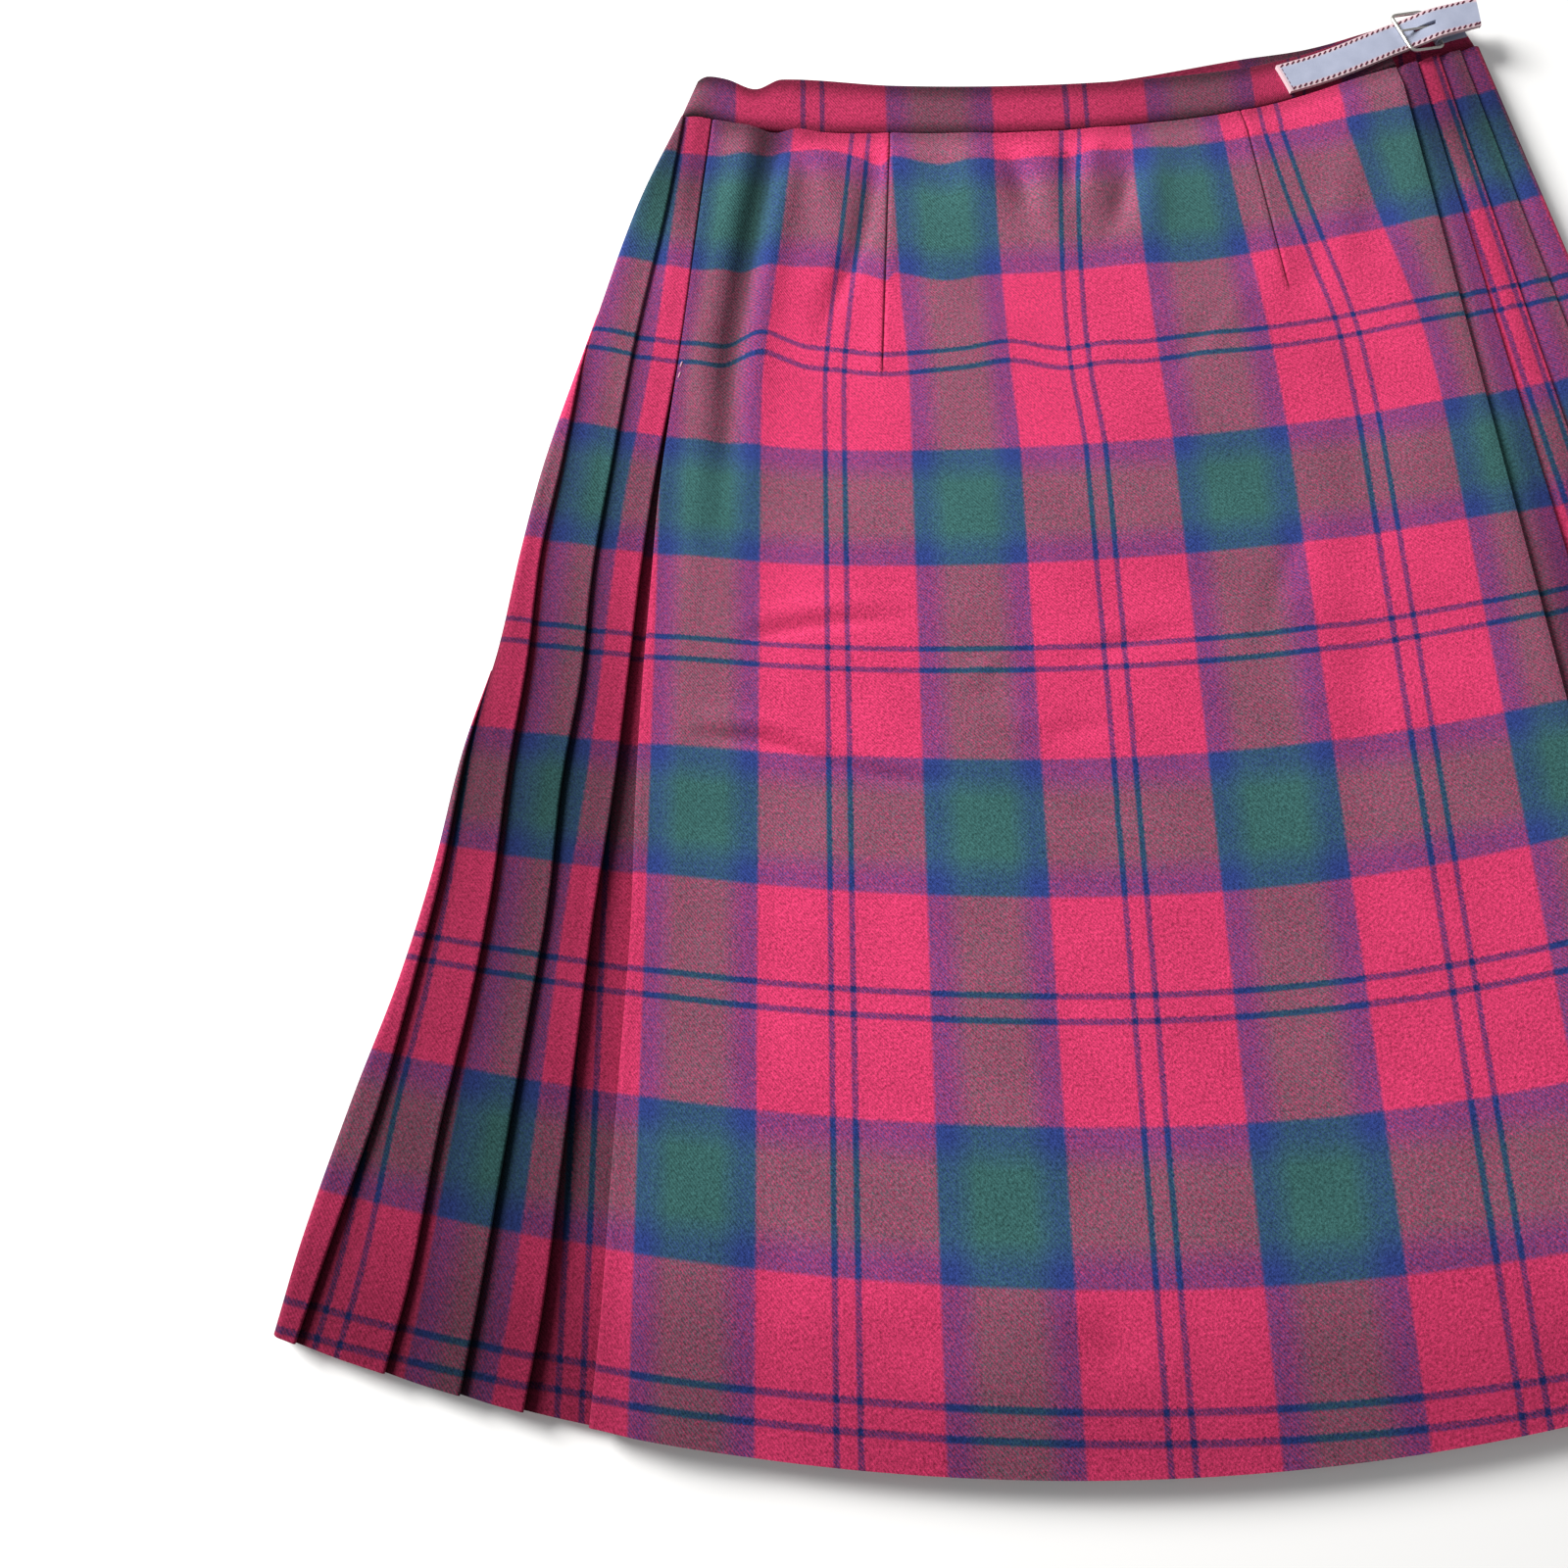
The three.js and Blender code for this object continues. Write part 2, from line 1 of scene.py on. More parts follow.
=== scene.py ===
# Knee-length kilted skirt in checked wool twill, lying flat with its front up on a pale floor.
# Shapes are worked out in millimetres: X across the skirt, Y from hem to waist, Z up from the floor.
import math
import bpy
import numpy as np
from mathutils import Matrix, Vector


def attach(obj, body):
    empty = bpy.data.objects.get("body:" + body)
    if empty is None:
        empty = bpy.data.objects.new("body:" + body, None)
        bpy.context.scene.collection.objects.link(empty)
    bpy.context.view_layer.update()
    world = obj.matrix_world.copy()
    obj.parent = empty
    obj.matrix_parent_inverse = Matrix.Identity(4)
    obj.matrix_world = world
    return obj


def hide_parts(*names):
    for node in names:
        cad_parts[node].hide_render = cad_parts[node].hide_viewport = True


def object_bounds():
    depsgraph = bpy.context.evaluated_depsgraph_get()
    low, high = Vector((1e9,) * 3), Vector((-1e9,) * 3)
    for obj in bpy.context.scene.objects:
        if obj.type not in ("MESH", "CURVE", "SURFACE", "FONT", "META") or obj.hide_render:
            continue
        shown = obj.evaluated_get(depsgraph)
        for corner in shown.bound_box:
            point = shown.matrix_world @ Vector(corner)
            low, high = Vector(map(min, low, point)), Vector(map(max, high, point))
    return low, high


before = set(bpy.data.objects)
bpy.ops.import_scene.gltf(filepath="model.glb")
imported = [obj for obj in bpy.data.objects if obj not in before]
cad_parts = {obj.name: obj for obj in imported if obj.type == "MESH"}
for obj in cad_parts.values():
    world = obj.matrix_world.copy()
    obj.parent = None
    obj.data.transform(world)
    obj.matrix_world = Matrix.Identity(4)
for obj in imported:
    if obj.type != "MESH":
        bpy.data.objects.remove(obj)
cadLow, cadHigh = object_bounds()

mm = 0.001

# The plan's left hem corner and lowest hem point, which lie on the box's left and near sides
planEnds = {"leftHem": -196.0, "hemLow": -269.994}
shift = np.array([cadLow[0] / mm - planEnds["leftHem"], cadLow[1] / mm - planEnds["hemLow"], 0.0])

# Heights of the layers, as in the solids
cloth = {
    "thick": 1.0,          # of the modelled cloth
    "layer": 1.5,          # from one layer to the next
    "frontFloor": 4.65,    # the front lies above the back's three layers
    "pleatLow": 5.25,      # a pleat's face at its inner fold
    "pleatHigh": 9.45,     # and at its outer fold
    "knifeDepth": 0.36,    # share of a pitch that is folded under
    "sideRadius": 4.0,     # the cloth turns down over the sides
    "seamGap": 0.15,
}
pleatRise = cloth["pleatHigh"] - cloth["pleatLow"]

waistSeam = {
    "x": [-54.5, -5, 58, 132, 200, 244, 277, 310, 345, 372],
    "y": [363, 353, 351, 352.5, 359, 367, 377, 389, 401, 409],
}
frontBandTop = {
    "x": [-54.5, -30, -15, -1, 58, 122, 185, 244, 277, 310, 345, 372],
    "y": [392, 386, 380, 387, 383, 383, 387, 395, 404, 416, 428, 436],
}
backBandTop = {
    "x": [-54.5, -15, 58, 144, 184, 244, 277, 310, 345, 372],
    "y": [389, 376, 379, 385, 391, 404, 410, 420, 430, 437],
}
hem = {"lowX": 108, "lowY": -270, "bow": 5.3e-4}

# Left side from the waist (down 0) to the hem (down 1): outline, the apron's fold and four pleat folds
leftSide = {
    "down":    [0.00, 0.10, 0.23, 0.35, 0.43, 0.52, 0.60, 0.69, 0.77, 0.85, 0.94, 1.00],
    "outline": [-54.5, -76, -96, -114, -122.5, -130.5, -142, -150.5, -161, -175, -189, -196],
    "apron":   [-37, -43, -50.5, -58, -60.5, -63, -64, -64, -66, -68, -70, -72.6],
    "pleat1":  [-37.6, -43.6, -51.1, -61, -66, -70, -74, -80, -84, -88, -92.5, -97.7],
    "pleat2":  [-52, -60, -73, -82, -87.6, -90.6, -96.5, -99.5, -105, -110.7, -117, -122],
    "pleat3":  [-72, -84, -95.8, -105, -112, -115, -120, -123.5, -129.4, -137.5, -144, -151],
    "pleat4":  [-95, -106, -116, -124, -130, -132.5, -139.5, -145.5, -153.7, -163, -177, -186],
}
apronEdge = [324, 362]       # the apron's free edge, at the waist and at the hem
rightOutline = [372, 475]


def mix(a, b, t):
    return a + (b - a) * t


def smoothStep(x, low, high):
    # 3t^2 - 2t^3 of the share t of the way from low to high
    t = np.clip((x - low) / (high - low), 0, 1)
    return t * t * (3 - 2 * t)


def smoothThrough(xs, ys):
    # Cubic between rows, its slope at a row being that of the line between the row's neighbours
    xs, ys = np.array(xs, float), np.array(ys, float)
    ahead, behind = np.append(xs[1:], xs[-1]), np.append(xs[0], xs[:-1])
    slope = (np.append(ys[1:], ys[-1]) - np.append(ys[0], ys[:-1])) / (ahead - behind)

    def curve(x):
        x = np.asarray(x, float)
        row = np.clip(np.searchsorted(xs, x) - 1, 0, len(xs) - 2)
        span = xs[row + 1] - xs[row]
        t = np.clip((x - xs[row]) / span, 0, 1)
        pull = span * (slope[row] * t * (1 - t) ** 2 - slope[row + 1] * t ** 2 * (1 - t))
        return ys[row] * (1 + 2 * t) * (1 - t) ** 2 + ys[row + 1] * (3 - 2 * t) * t ** 2 + pull

    return curve


seamY = smoothThrough(waistSeam["x"], waistSeam["y"])
frontTopY = smoothThrough(frontBandTop["x"], frontBandTop["y"])
backTopY = smoothThrough(backBandTop["x"], backBandTop["y"])
leftX = {name: smoothThrough(leftSide["down"], row) for name, row in leftSide.items() if name != "down"}


def edgeX(down):
    return mix(*apronEdge, down)


def outlineX(down):
    return mix(*rightOutline, down)


def hemY(x):
    return hem["lowY"] + hem["bow"] * (x - hem["lowX"]) ** 2


def fanY(x, down, lineA, lineB):
    # Y of a place at a level: the same share of the way between two lengthwise lines gives its X at the
    # waist seam and at the hem, and the level mixes their Y
    share = (x - lineA(down)) / (lineB(down) - lineA(down))
    waist = mix(lineA(0.0), lineB(0.0), share)
    foot = mix(lineA(1.0), lineB(1.0), share)
    return mix(seamY(waist) - cloth["seamGap"], hemY(foot), down)


# Meshes

def unit(vectors):
    return vectors / np.maximum(np.linalg.norm(vectors, axis=-1, keepdims=True), 1e-9)


def tangents(points, axis):
    # Mean of the directions to the two neighbours along one side of the grid
    steps = unit(np.diff(points, axis=axis))
    first, last = np.take(steps, [0], axis), np.take(steps, [-1], axis)
    return unit(np.concatenate([first, steps], axis) + np.concatenate([steps, last], axis))


def quads(a, b, c, d):
    return np.stack([a, b, c, d], axis=-1).reshape(-1, 4)


def wall(points, marks, thick=None, hole=None):
    # A closed wall: two sheets, each half a thickness to one side of the grid of points, and a rim. hole
    # gives the first and last row and column of a slot that goes through.
    thick = cloth["thick"] if thick is None else thick
    rows, columns = points.shape[:2]
    across, down = tangents(points, 1), tangents(points, 0)
    normal = unit(np.cross(across, down))
    vertices = np.concatenate([points + normal * thick / 2, points - normal * thick / 2]).reshape(-1, 3)
    outer = np.arange(rows * columns).reshape(rows, columns)
    inner = outer + rows * columns
    keep = np.ones((rows - 1, columns - 1), bool)
    if hole:
        keep[hole[0]:hole[1], hole[2]:hole[3]] = False
    a, b, c, d = outer[:-1, :-1], outer[:-1, 1:], outer[1:, 1:], outer[1:, :-1]
    e, f, g, h = inner[:-1, :-1], inner[:-1, 1:], inner[1:, 1:], inner[1:, :-1]
    faces = [quads(a[keep], b[keep], c[keep], d[keep]), quads(h[keep], g[keep], f[keep], e[keep])]

    def rim(out, back):
        return quads(back[:-1], back[1:], out[1:], out[:-1])

    faces += [
        rim(outer[0], inner[0]), rim(outer[-1, ::-1], inner[-1, ::-1]),
        rim(outer[::-1, 0], inner[::-1, 0]), rim(outer[:, -1], inner[:, -1]),
    ]
    if hole:
        r0, r1, c0, c1 = hole
        faces += [
            rim(outer[r0, c0:c1 + 1][::-1], inner[r0, c0:c1 + 1][::-1]),
            rim(outer[r1, c0:c1 + 1], inner[r1, c0:c1 + 1]),
            rim(outer[r0:r1 + 1, c0], inner[r0:r1 + 1, c0]),
            rim(outer[r0:r1 + 1, c1][::-1], inner[r0:r1 + 1, c1][::-1]),
        ]
    return vertices, np.concatenate(faces), np.concatenate([marks, marks]).reshape(-1, 3)


def bar(rings, marks, closed=False):
    # A closed bar through rings of points. closed joins its last ring to its first, and else its two ends are
    # strips between facing points of the ring.
    count, around = rings.shape[:2]
    index = np.arange(count * around).reshape(count, around)
    if closed:
        index = np.concatenate([index, index[:1]])
    index = np.concatenate([index, index[:, :1]], axis=1)
    faces = [quads(index[:-1, :-1], index[1:, :-1], index[1:, 1:], index[:-1, 1:])]
    if not closed:
        half = around // 2
        near, far = np.arange(half), around - 1 - np.arange(half)
        for ring, order in ((index[0], 1), (index[-1], -1)):
            cap = quads(ring[near[:-1]], ring[near[1:]], ring[far[1:]], ring[far[:-1]])
            faces.append(cap[:, ::order])
    return rings.reshape(-1, 3), np.concatenate(faces), marks.reshape(-1, 3)


def join(parts):
    starts = np.cumsum([0] + [len(part[0]) for part in parts])
    return (
        np.concatenate([part[0] for part in parts]),
        np.concatenate([part[1] + start for part, start in zip(parts, starts)]),
        np.concatenate([part[2] for part in parts]),
    )


def makePiece(name, shape, material, crease=50):
    # One object in metres at its place in the frame. The mark at each point is the place in the check, or on
    # the leather, and how much painted shade darkens the cloth there.
    vertices, faces, marks = shape
    mesh = bpy.data.meshes.new(name)
    mesh.from_pydata(((vertices + shift) * mm).tolist(), [], faces.tolist())
    places = mesh.attributes.new("place", "FLOAT_VECTOR", "POINT")
    places.data.foreach_set("vector", marks.astype(float).ravel())
    mesh.materials.append(material)
    mesh.validate()
    mesh.shade_smooth()
    mesh.set_sharp_from_angle(angle=math.radians(crease))
    piece = bpy.data.objects.new(name, mesh)
    bpy.context.scene.collection.objects.link(piece)
    print(f"{name}: {len(vertices)} points, {len(faces)} faces")
    return piece


def grid(x, y, z):
    return np.stack(np.broadcast_arrays(x, y, z), axis=-1).astype(float)


def lengthAlong(points):
    # Distance along a line of points from its first
    return np.concatenate([[0], np.cumsum(np.linalg.norm(np.diff(points, axis=0), axis=-1))])


# Materials

class Signal:
    # An output socket that can be used in a sum. Each operator adds one Math node.
    def __init__(self, finish, socket):
        self.finish, self.socket = finish, socket

    def maths(self, operation, *values, clamp=False):
        settings = {"operation": operation, "use_clamp": clamp}
        return self.finish.node("ShaderNodeMath", settings, dict(enumerate(values)))

    def __add__(self, other):
        return self.maths("ADD", self, other)

    def __radd__(self, other):
        return self.maths("ADD", other, self)

    def __sub__(self, other):
        return self.maths("SUBTRACT", self, other)

    def __rsub__(self, other):
        return self.maths("SUBTRACT", other, self)

    def __mul__(self, other):
        return self.maths("MULTIPLY", self, other)

    def __rmul__(self, other):
        return self.maths("MULTIPLY", other, self)

    def __truediv__(self, other):
        return self.maths("DIVIDE", self, other)

    def sine(self):
        return self.maths("SINE", self)

    def limited(self):
        return self.maths("ADD", self, 0.0, clamp=True)

    def between(self, low, high):
        # 0 below low, 1 above high, smooth between
        settings = {"interpolation_type": "SMOOTHSTEP"}
        return self.finish.node("ShaderNodeMapRange", settings, {"Value": self, 1: low, 2: high})


class Finish:
    # A material and its nodes
    def __init__(self, name, shader):
        self.material = bpy.data.materials.new(name)
        self.material.use_nodes = True
        self.tree = self.material.node_tree
        self.tree.nodes.clear()
        self.shader = self.tree.nodes.new("ShaderNodeBsdfPrincipled")
        output = self.tree.nodes.new("ShaderNodeOutputMaterial")
        self.tree.links.new(self.shader.outputs[0], output.inputs[0])
        self.feed(self.shader, shader)

    def feed(self, node, sockets):
        for key, value in sockets.items():
            socket = node.inputs[key]
            if isinstance(value, Signal):
                self.tree.links.new(value.socket, socket)
            else:
                socket.default_value = value

    def node(self, kind, settings, sockets, out=0):
        node = self.tree.nodes.new(kind)
        for key, value in settings.items():
            if key == "stops":
                self.setStops(node.color_ramp, value)
            else:
                setattr(node, key, value)
        self.feed(node, sockets)
        return Signal(self, node.outputs[out])

    def setStops(self, ramp, stops):
        while len(ramp.elements) < len(stops):
            ramp.elements.new(1.0)
        for element, (position, colour) in zip(ramp.elements, stops):
            element.position = position
            element.color = colour

    def blend(self, factor, first, second):
        return self.node("ShaderNodeMix", {"data_type": "RGBA"}, {0: factor, 6: first, 7: second}, out=2)

    def scaled(self, colour, factor):
        return self.node("ShaderNodeVectorMath", {"operation": "SCALE"}, {0: colour, "Scale": factor})

    def noise(self, vector, scale, detail=2.0, rough=0.5):
        sockets = {"Vector": vector, "Scale": scale, "Detail": detail, "Roughness": rough}
        return self.node("ShaderNodeTexNoise", {}, sockets)

    def split(self, vector):
        return [self.node("ShaderNodeSeparateXYZ", {}, {0: vector}, out=i) for i in range(3)]

    def place(self):
        return self.node("ShaderNodeTexCoord", {}, {}, out=3)

    def marks(self):
        return self.node("ShaderNodeAttribute", {"attribute_name": "place"}, {}, out=1)

    def bump(self, height, strength, distance):
        sockets = {"Height": height, "Strength": strength, "Distance": distance}
        return self.node("ShaderNodeBump", {}, sockets)


# The check, in millimetres of cloth from the middle of a green stripe: green, blue, red, and a pair of thin
# blue lines in the middle of the red. Its rows are longer than its columns are wide.
check = {
    "columns": {
        "repeat": 125.0, "greenEnds": 10.5, "blueStarts": 20.0, "blueEnds": 26.0,
        "lineStarts": 57.0, "lineEnds": 58.7,
    },
    "rows": {
        "repeat": 153.5, "greenEnds": 12.0, "blueStarts": 23.0, "blueEnds": 29.0,
        "lineStarts": 70.5, "lineEnds": 72.4,
    },
    "edge": 0.7,           # over which one colour gives way to the next
    # Square roots of the linear colours, which mix as the two threads of a twill do
    "red": (0.788, 0.206, 0.370),
    "green": (0.200, 0.352, 0.348),
    "blue": (0.165, 0.225, 0.460),
    "line": (0.110, 0.160, 0.370),
    "ribPitch": 1.6,
    "ribContrast": 0.14,
    "threadContrast": 1.05,
    "mottling": 2.3,
    "clouds": 0.35,
    "wander": 2.2,         # of the stripes' edges
    "noiseLevel": 7.37,    # where the noises are cut, off their own lattice
}


def stripe(finish, along, stripes):
    # Colour of one set of threads: the distance to the nearest green middle, read from a ramp
    half, edge = stripes["repeat"] / 2, check["edge"]
    distance = along.maths("PINGPONG", along, half) / half
    stops = [
        (0, "green"), (stripes["greenEnds"], "green"), (stripes["blueStarts"], "blue"),
        (stripes["blueEnds"] - edge, "blue"), (stripes["blueEnds"] + edge, "red"),
        (stripes["lineStarts"] - edge, "red"), (stripes["lineStarts"], "line"),
        (stripes["lineEnds"], "line"), (stripes["lineEnds"] + edge, "red"),
    ]
    ramp = [(at / half, (*check[name], 1.0)) for at, name in stops]
    return finish.node("ShaderNodeValToRGB", {"stops": ramp}, {0: distance})


def woolCheck():
    # Base colour: square of the mean of warp and weft roots, leaned to one or the other by the twill's
    # ribs, a sine across the diagonal, and by a noise the size of the threads, then mottled and darkened
    # by the painted shade in the marks.
    # Height: ribs plus fine fluff.
    finish = Finish("woolCheck", {
        "Roughness": 0.92, "Sheen Weight": 0.03, "Sheen Roughness": 0.4, "IOR": 1.45,
        "Sheen Tint": (1.0, 0.86, 0.92, 1.0), "Specular IOR Level": 0.08,
    })
    across, down, shade = finish.split(finish.marks())
    spot = finish.node("ShaderNodeCombineXYZ", {}, {0: across, 1: down, 2: check["noiseLevel"]})
    fluff = finish.noise(spot, 0.8, 3.0, 0.7)
    cloud = finish.noise(spot, 0.03, 2.0)
    wander = (fluff - 0.5) * check["wander"]
    warp = stripe(finish, across + wander, check["columns"])
    weft = stripe(finish, down + wander, check["rows"])
    ribs = ((across + down) * (2 * math.pi / check["ribPitch"])).sine()
    threads = finish.noise(spot, 1.15, 2.0, 0.6)
    lean = (ribs * check["ribContrast"] + (threads - 0.5) * check["threadContrast"] + 0.5).limited()
    root = finish.blend(lean, warp, weft)
    colour = finish.node("ShaderNodeVectorMath", {"operation": "MULTIPLY"}, {0: root, 1: root})
    worn = (cloud - 0.5) * check["clouds"] + (fluff - 0.5) * check["mottling"] + ribs * 0.05 + 1.0
    # The marks' third part is painted shade, which darkens the base colour
    finish.feed(finish.shader, {
        "Base Color": finish.scaled(colour, worn * (1 - shade)),
        "Normal": finish.bump(ribs * 0.35 + fluff * 1.6, 0.6, 0.0005),
    })
    return finish.material


woolMaterial = woolCheck()
print("wool ready")


# Place in the check

# Across the skirt: X of the middles of the stripes, for rows of Y. twin is the middle of a pair of lines.
# taken1 and taken2 are the widths of cloth that the two darts take up.
acrossRows = {
    "y":      [-290, 160, 204, 240, 300, 352],
    "green1": [-36, -36, -35, -30.5, -24, -20],
    "twin1":  [24, 24, 24.5, 27.5, 34.5, 40],
    "green2": [86.3, 86.3, 86, 84.5, 81.4, 79],
    "twin2":  [147.5, 147.5, 143.5, 142.5, 144.5, 149.5],
    "green3": [211, 211, 210.3, 208.5, 204.5, 202],
    "twin3":  [281, 279.5, 278, 274.5, 262, 253],
    "green4": [346, 341, 339.5, 336, 327, 319],
    "taken1": [0, 0, 0, 6, 14, 21],
    "taken2": [0, 0, 0, 0, 5, 9],
}
acrossMarks = ["green1", "twin1", "green2", "twin2", "green3", "twin3", "green4"]
leftStretch = 1.18           # cloth to a millimetre of plan, left of the first stripe
acrossAt = {name: smoothThrough(acrossRows["y"], row) for name, row in acrossRows.items() if name != "y"}

darts = [
    {"top": (55.0, 351.0), "tip": (47.5, 204.0), "after": 1, "taken": "taken1"},
    {"top": (239.0, 366.0), "tip": (250.0, 253.0), "after": 4, "taken": "taken2"},
]

# Borders of the green rows, as parabolas: the place in the check, the lowest point, and the bows to its left
# and right. Nearer to the waist, Y of a pair of lines and of a green row's middle.
rowBorders = [
    {"place": -182.5, "x": 132, "y": -205.0, "left": 3.7e-4, "right": 4.6e-4},
    {"place": -124.5, "x": 128, "y": -145.0, "left": 3.5e-4, "right": 5.0e-4},
    {"place": -29.0, "x": 118, "y": -52.0, "left": 3.4e-4, "right": 5.6e-4},
    {"place": 29.0, "x": 100, "y": 8.7, "left": 3.0e-4, "right": 4.6e-4},
    {"place": 124.5, "x": 45, "y": 102.0, "left": 6.0e-4, "right": 3.2e-4},
    {"place": 182.5, "x": 42, "y": 162.0, "left": 8.5e-4, "right": 3.6e-4},
]
upperRows = {
    "twinX": [-120, -84, -59, -45, -33, -20, -9, 0, 10, 25, 47, 66, 89, 110, 135, 157, 175, 205, 228, 250,
              272, 330, 400, 480],
    "twinY": [234, 224, 218, 216.5, 214.5, 218.5, 221.5, 218.5, 214, 212, 209, 211, 214, 218, 213, 216.5,
              217, 222, 224, 227, 231, 243, 258, 275],
    "greenX": [-100, -60, -34, -8, 25, 40, 51, 55, 80, 98, 137, 175, 209, 268, 330, 400, 480],
    "greenY": [314, 304, 299.5, 300.7, 301.5, 297.5, 293.5, 298, 293.5, 296.5, 299, 303.5, 305.5, 317, 332,
               350, 370],
    "greenHalf": 35.5,
    "twinPlace": 230.25,
    "greenPlaces": (278.0, 336.0),
}
upperTwin = smoothThrough(upperRows["twinX"], upperRows["twinY"])
upperGreen = smoothThrough(upperRows["greenX"], upperRows["greenY"])

# Painted shade at the hem: how much darker the cloth is there, and how far above it that starts to fade
# and ends
hemShade = {"most": 0.34, "fades": 8, "ends": 85}


def dartX(dart, y):
    (topX, topY), (tipX, tipY) = dart["top"], dart["tip"]
    return mix(tipX, topX, (y - tipY) / (topY - tipY))


def placeAcross(x, y):
    # Between two marks the cloth is spread evenly, and a dart takes its width out at its line
    half = check["columns"]["repeat"] / 2
    lines = [acrossAt[name](y) for name in acrossMarks]
    place = (x - lines[0]) * leftStretch
    for i in range(len(lines) - 1):
        spread = (x - lines[i]) / (lines[i + 1] - lines[i])
        inside = (i + spread) * half
        for dart in darts:
            if dart["after"] == i:
                taken = acrossAt[dart["taken"]](y)
                rate = (half - taken) / (lines[i + 1] - lines[i])
                left = i * half + (x - lines[i]) * rate
                right = (i + 1) * half - (lines[i + 1] - x) * rate
                inside = np.where(x < dartX(dart, y), left, right)
        place = np.where(x >= lines[i], inside, place)
    return place


def placeDown(x, y):
    # Even between neighbouring borders of the rows
    rows = []
    for row in rowBorders:
        away = x - row["x"]
        rows.append((row["place"], row["y"] + np.where(away < 0, row["left"], row["right"]) * away ** 2))
    green, half = upperGreen(x), upperRows["greenHalf"]
    greenLow, greenHigh = upperRows["greenPlaces"]
    rows += [(upperRows["twinPlace"], upperTwin(x)), (greenLow, green - half), (greenHigh, green + half)]
    place = rows[0][0] + y - rows[0][1]
    for (placeA, yA), (placeB, yB) in zip(rows[:-1], rows[1:]):
        place = np.where(y >= yA, placeA + (y - yA) / (yB - yA) * (placeB - placeA), place)
    return place


def marksOf(points, across=None, shade=0.0):
    x, y = points[..., 0], points[..., 1]
    across = placeAcross(x, y) if across is None else across
    # Painted shade towards the hem, joined with the shade given
    atHem = hemShade["most"] * (1 - smoothStep(y - hemY(x), hemShade["fades"], hemShade["ends"]))
    shade = 1 - (1 - shade) * (1 - atHem)
    return np.stack(np.broadcast_arrays(across, placeDown(x, y), shade), axis=-1)


# Front apron

apron = {
    "rows": 245,
    "columns": 160,
    "return": 25.0,
    "lift": 1.3,
    "liftInside": 2.1,
    "foldFall": 38.0,
    "edgeFall": 45.0,
    "underlap": 20.0,
    "foldSteps": 9,
    "returnColumns": 10,
    "dartSpread": 1.4,
    "dartDeep": 1.0,
    "dartGroove": 0.7,
    "dartSwell": 0.45,           # the low ridge that the groove lies in
    "dartSwellWide": 5.0,
    "edgeDrop": 0.5,
    "edgeDropWide": 1.2,
    "measuredRow": 95,           # the row whose length carries the check round the fold
}
# Painted shade: how much darker the apron is in its hollows, near its fold, in its main crease, under the
# waistband, in the corner between these two, in the darts and round its fold and return. Deep and wide give
# how far each reaches.
apronShade = {
    "hollow": 0.3, "hollowFrom": 1.1, "hollowMost": 2.0,
    "fold": 0.24, "foldWide": 26.0,
    "crease": 0.13,
    "seam": 0.36, "seamDeep": 14.0,
    "corner": 0.36, "cornerX": -6.0, "cornerWide": 24.0, "cornerFades": 3.0, "cornerDeep": 24.0,
    "most": 0.72,
    "dart": 0.85, "dartWide": 0.75,
    "return": 0.42,
}

# Soft hollows and ridges: middle, half length, half width, turn in degrees, and rise (a hollow's is below 0)
foldColumns = ["x", "y", "long", "wide", "turn", "rise"]
apronFolds = [dict(zip(foldColumns, row)) for row in [
    (4, 338, 13, 7, 30, -2.6),
    (20, 322, 24, 9, 8, 1.8),
    (60, 336, 16, 14, 0, 0.8),
    (96, 326, 26, 12, 0, 1.4),
    (119, 318, 22, 8, 12, -2.6),
    (133, 304, 26, 8, 10, 1.6),
    (146, 330, 16, 6, 4, -2.4),
    (158, 330, 22, 6, -14, 1.5),
    (171, 311, 24, 7, -16, -2.6),
    (187, 312, 28, 9, -8, 2.0),
    (262, 262, 16, 9, -20, -0.9),
    (240, 258, 18, 8, 14, 0.8),
    (46, 212, 18, 9, 0, 0.6),
    (72, 20, 30, 60, 8, 0.9),
    (-2, 44, 22, 30, 0, 0.8),
    (89.5, 52, 3, 9, 34, 0.9),
    (92, 38, 5, 14, -20, -1.3),
    (136, -16, 4, 12, -16, -1.1),
    (126, 22, 5, 16, 10, -1.0),
    (150, 62, 4, 22, 14, -0.9),
    (152, 72, 5, 20, 14, 0.7),
    (205, 228, 26, 5, -38, -0.9),
    (214, 236, 26, 6, -38, 0.8),
    (228, 96, 30, 6, -24, -0.9),
    (-2, -205, 26, 12, 4, -0.9),
    (46, -226, 12, 22, 0, -1.0),
    (123, -224, 11, 13, 0, -1.7),
    (95, -206, 16, 26, 0, 0.6),
    (262, 60, 110, 14, -6, -1.0),
    (236, 40, 100, 12, -6, 0.7),
    (300, 300, 40, 12, -12, -1.0),
    (284, 306, 44, 9, -12, 0.9),
    (150, -60, 120, 30, -3, 0.6),
    (40, -90, 90, 26, 3, -0.5),
]]

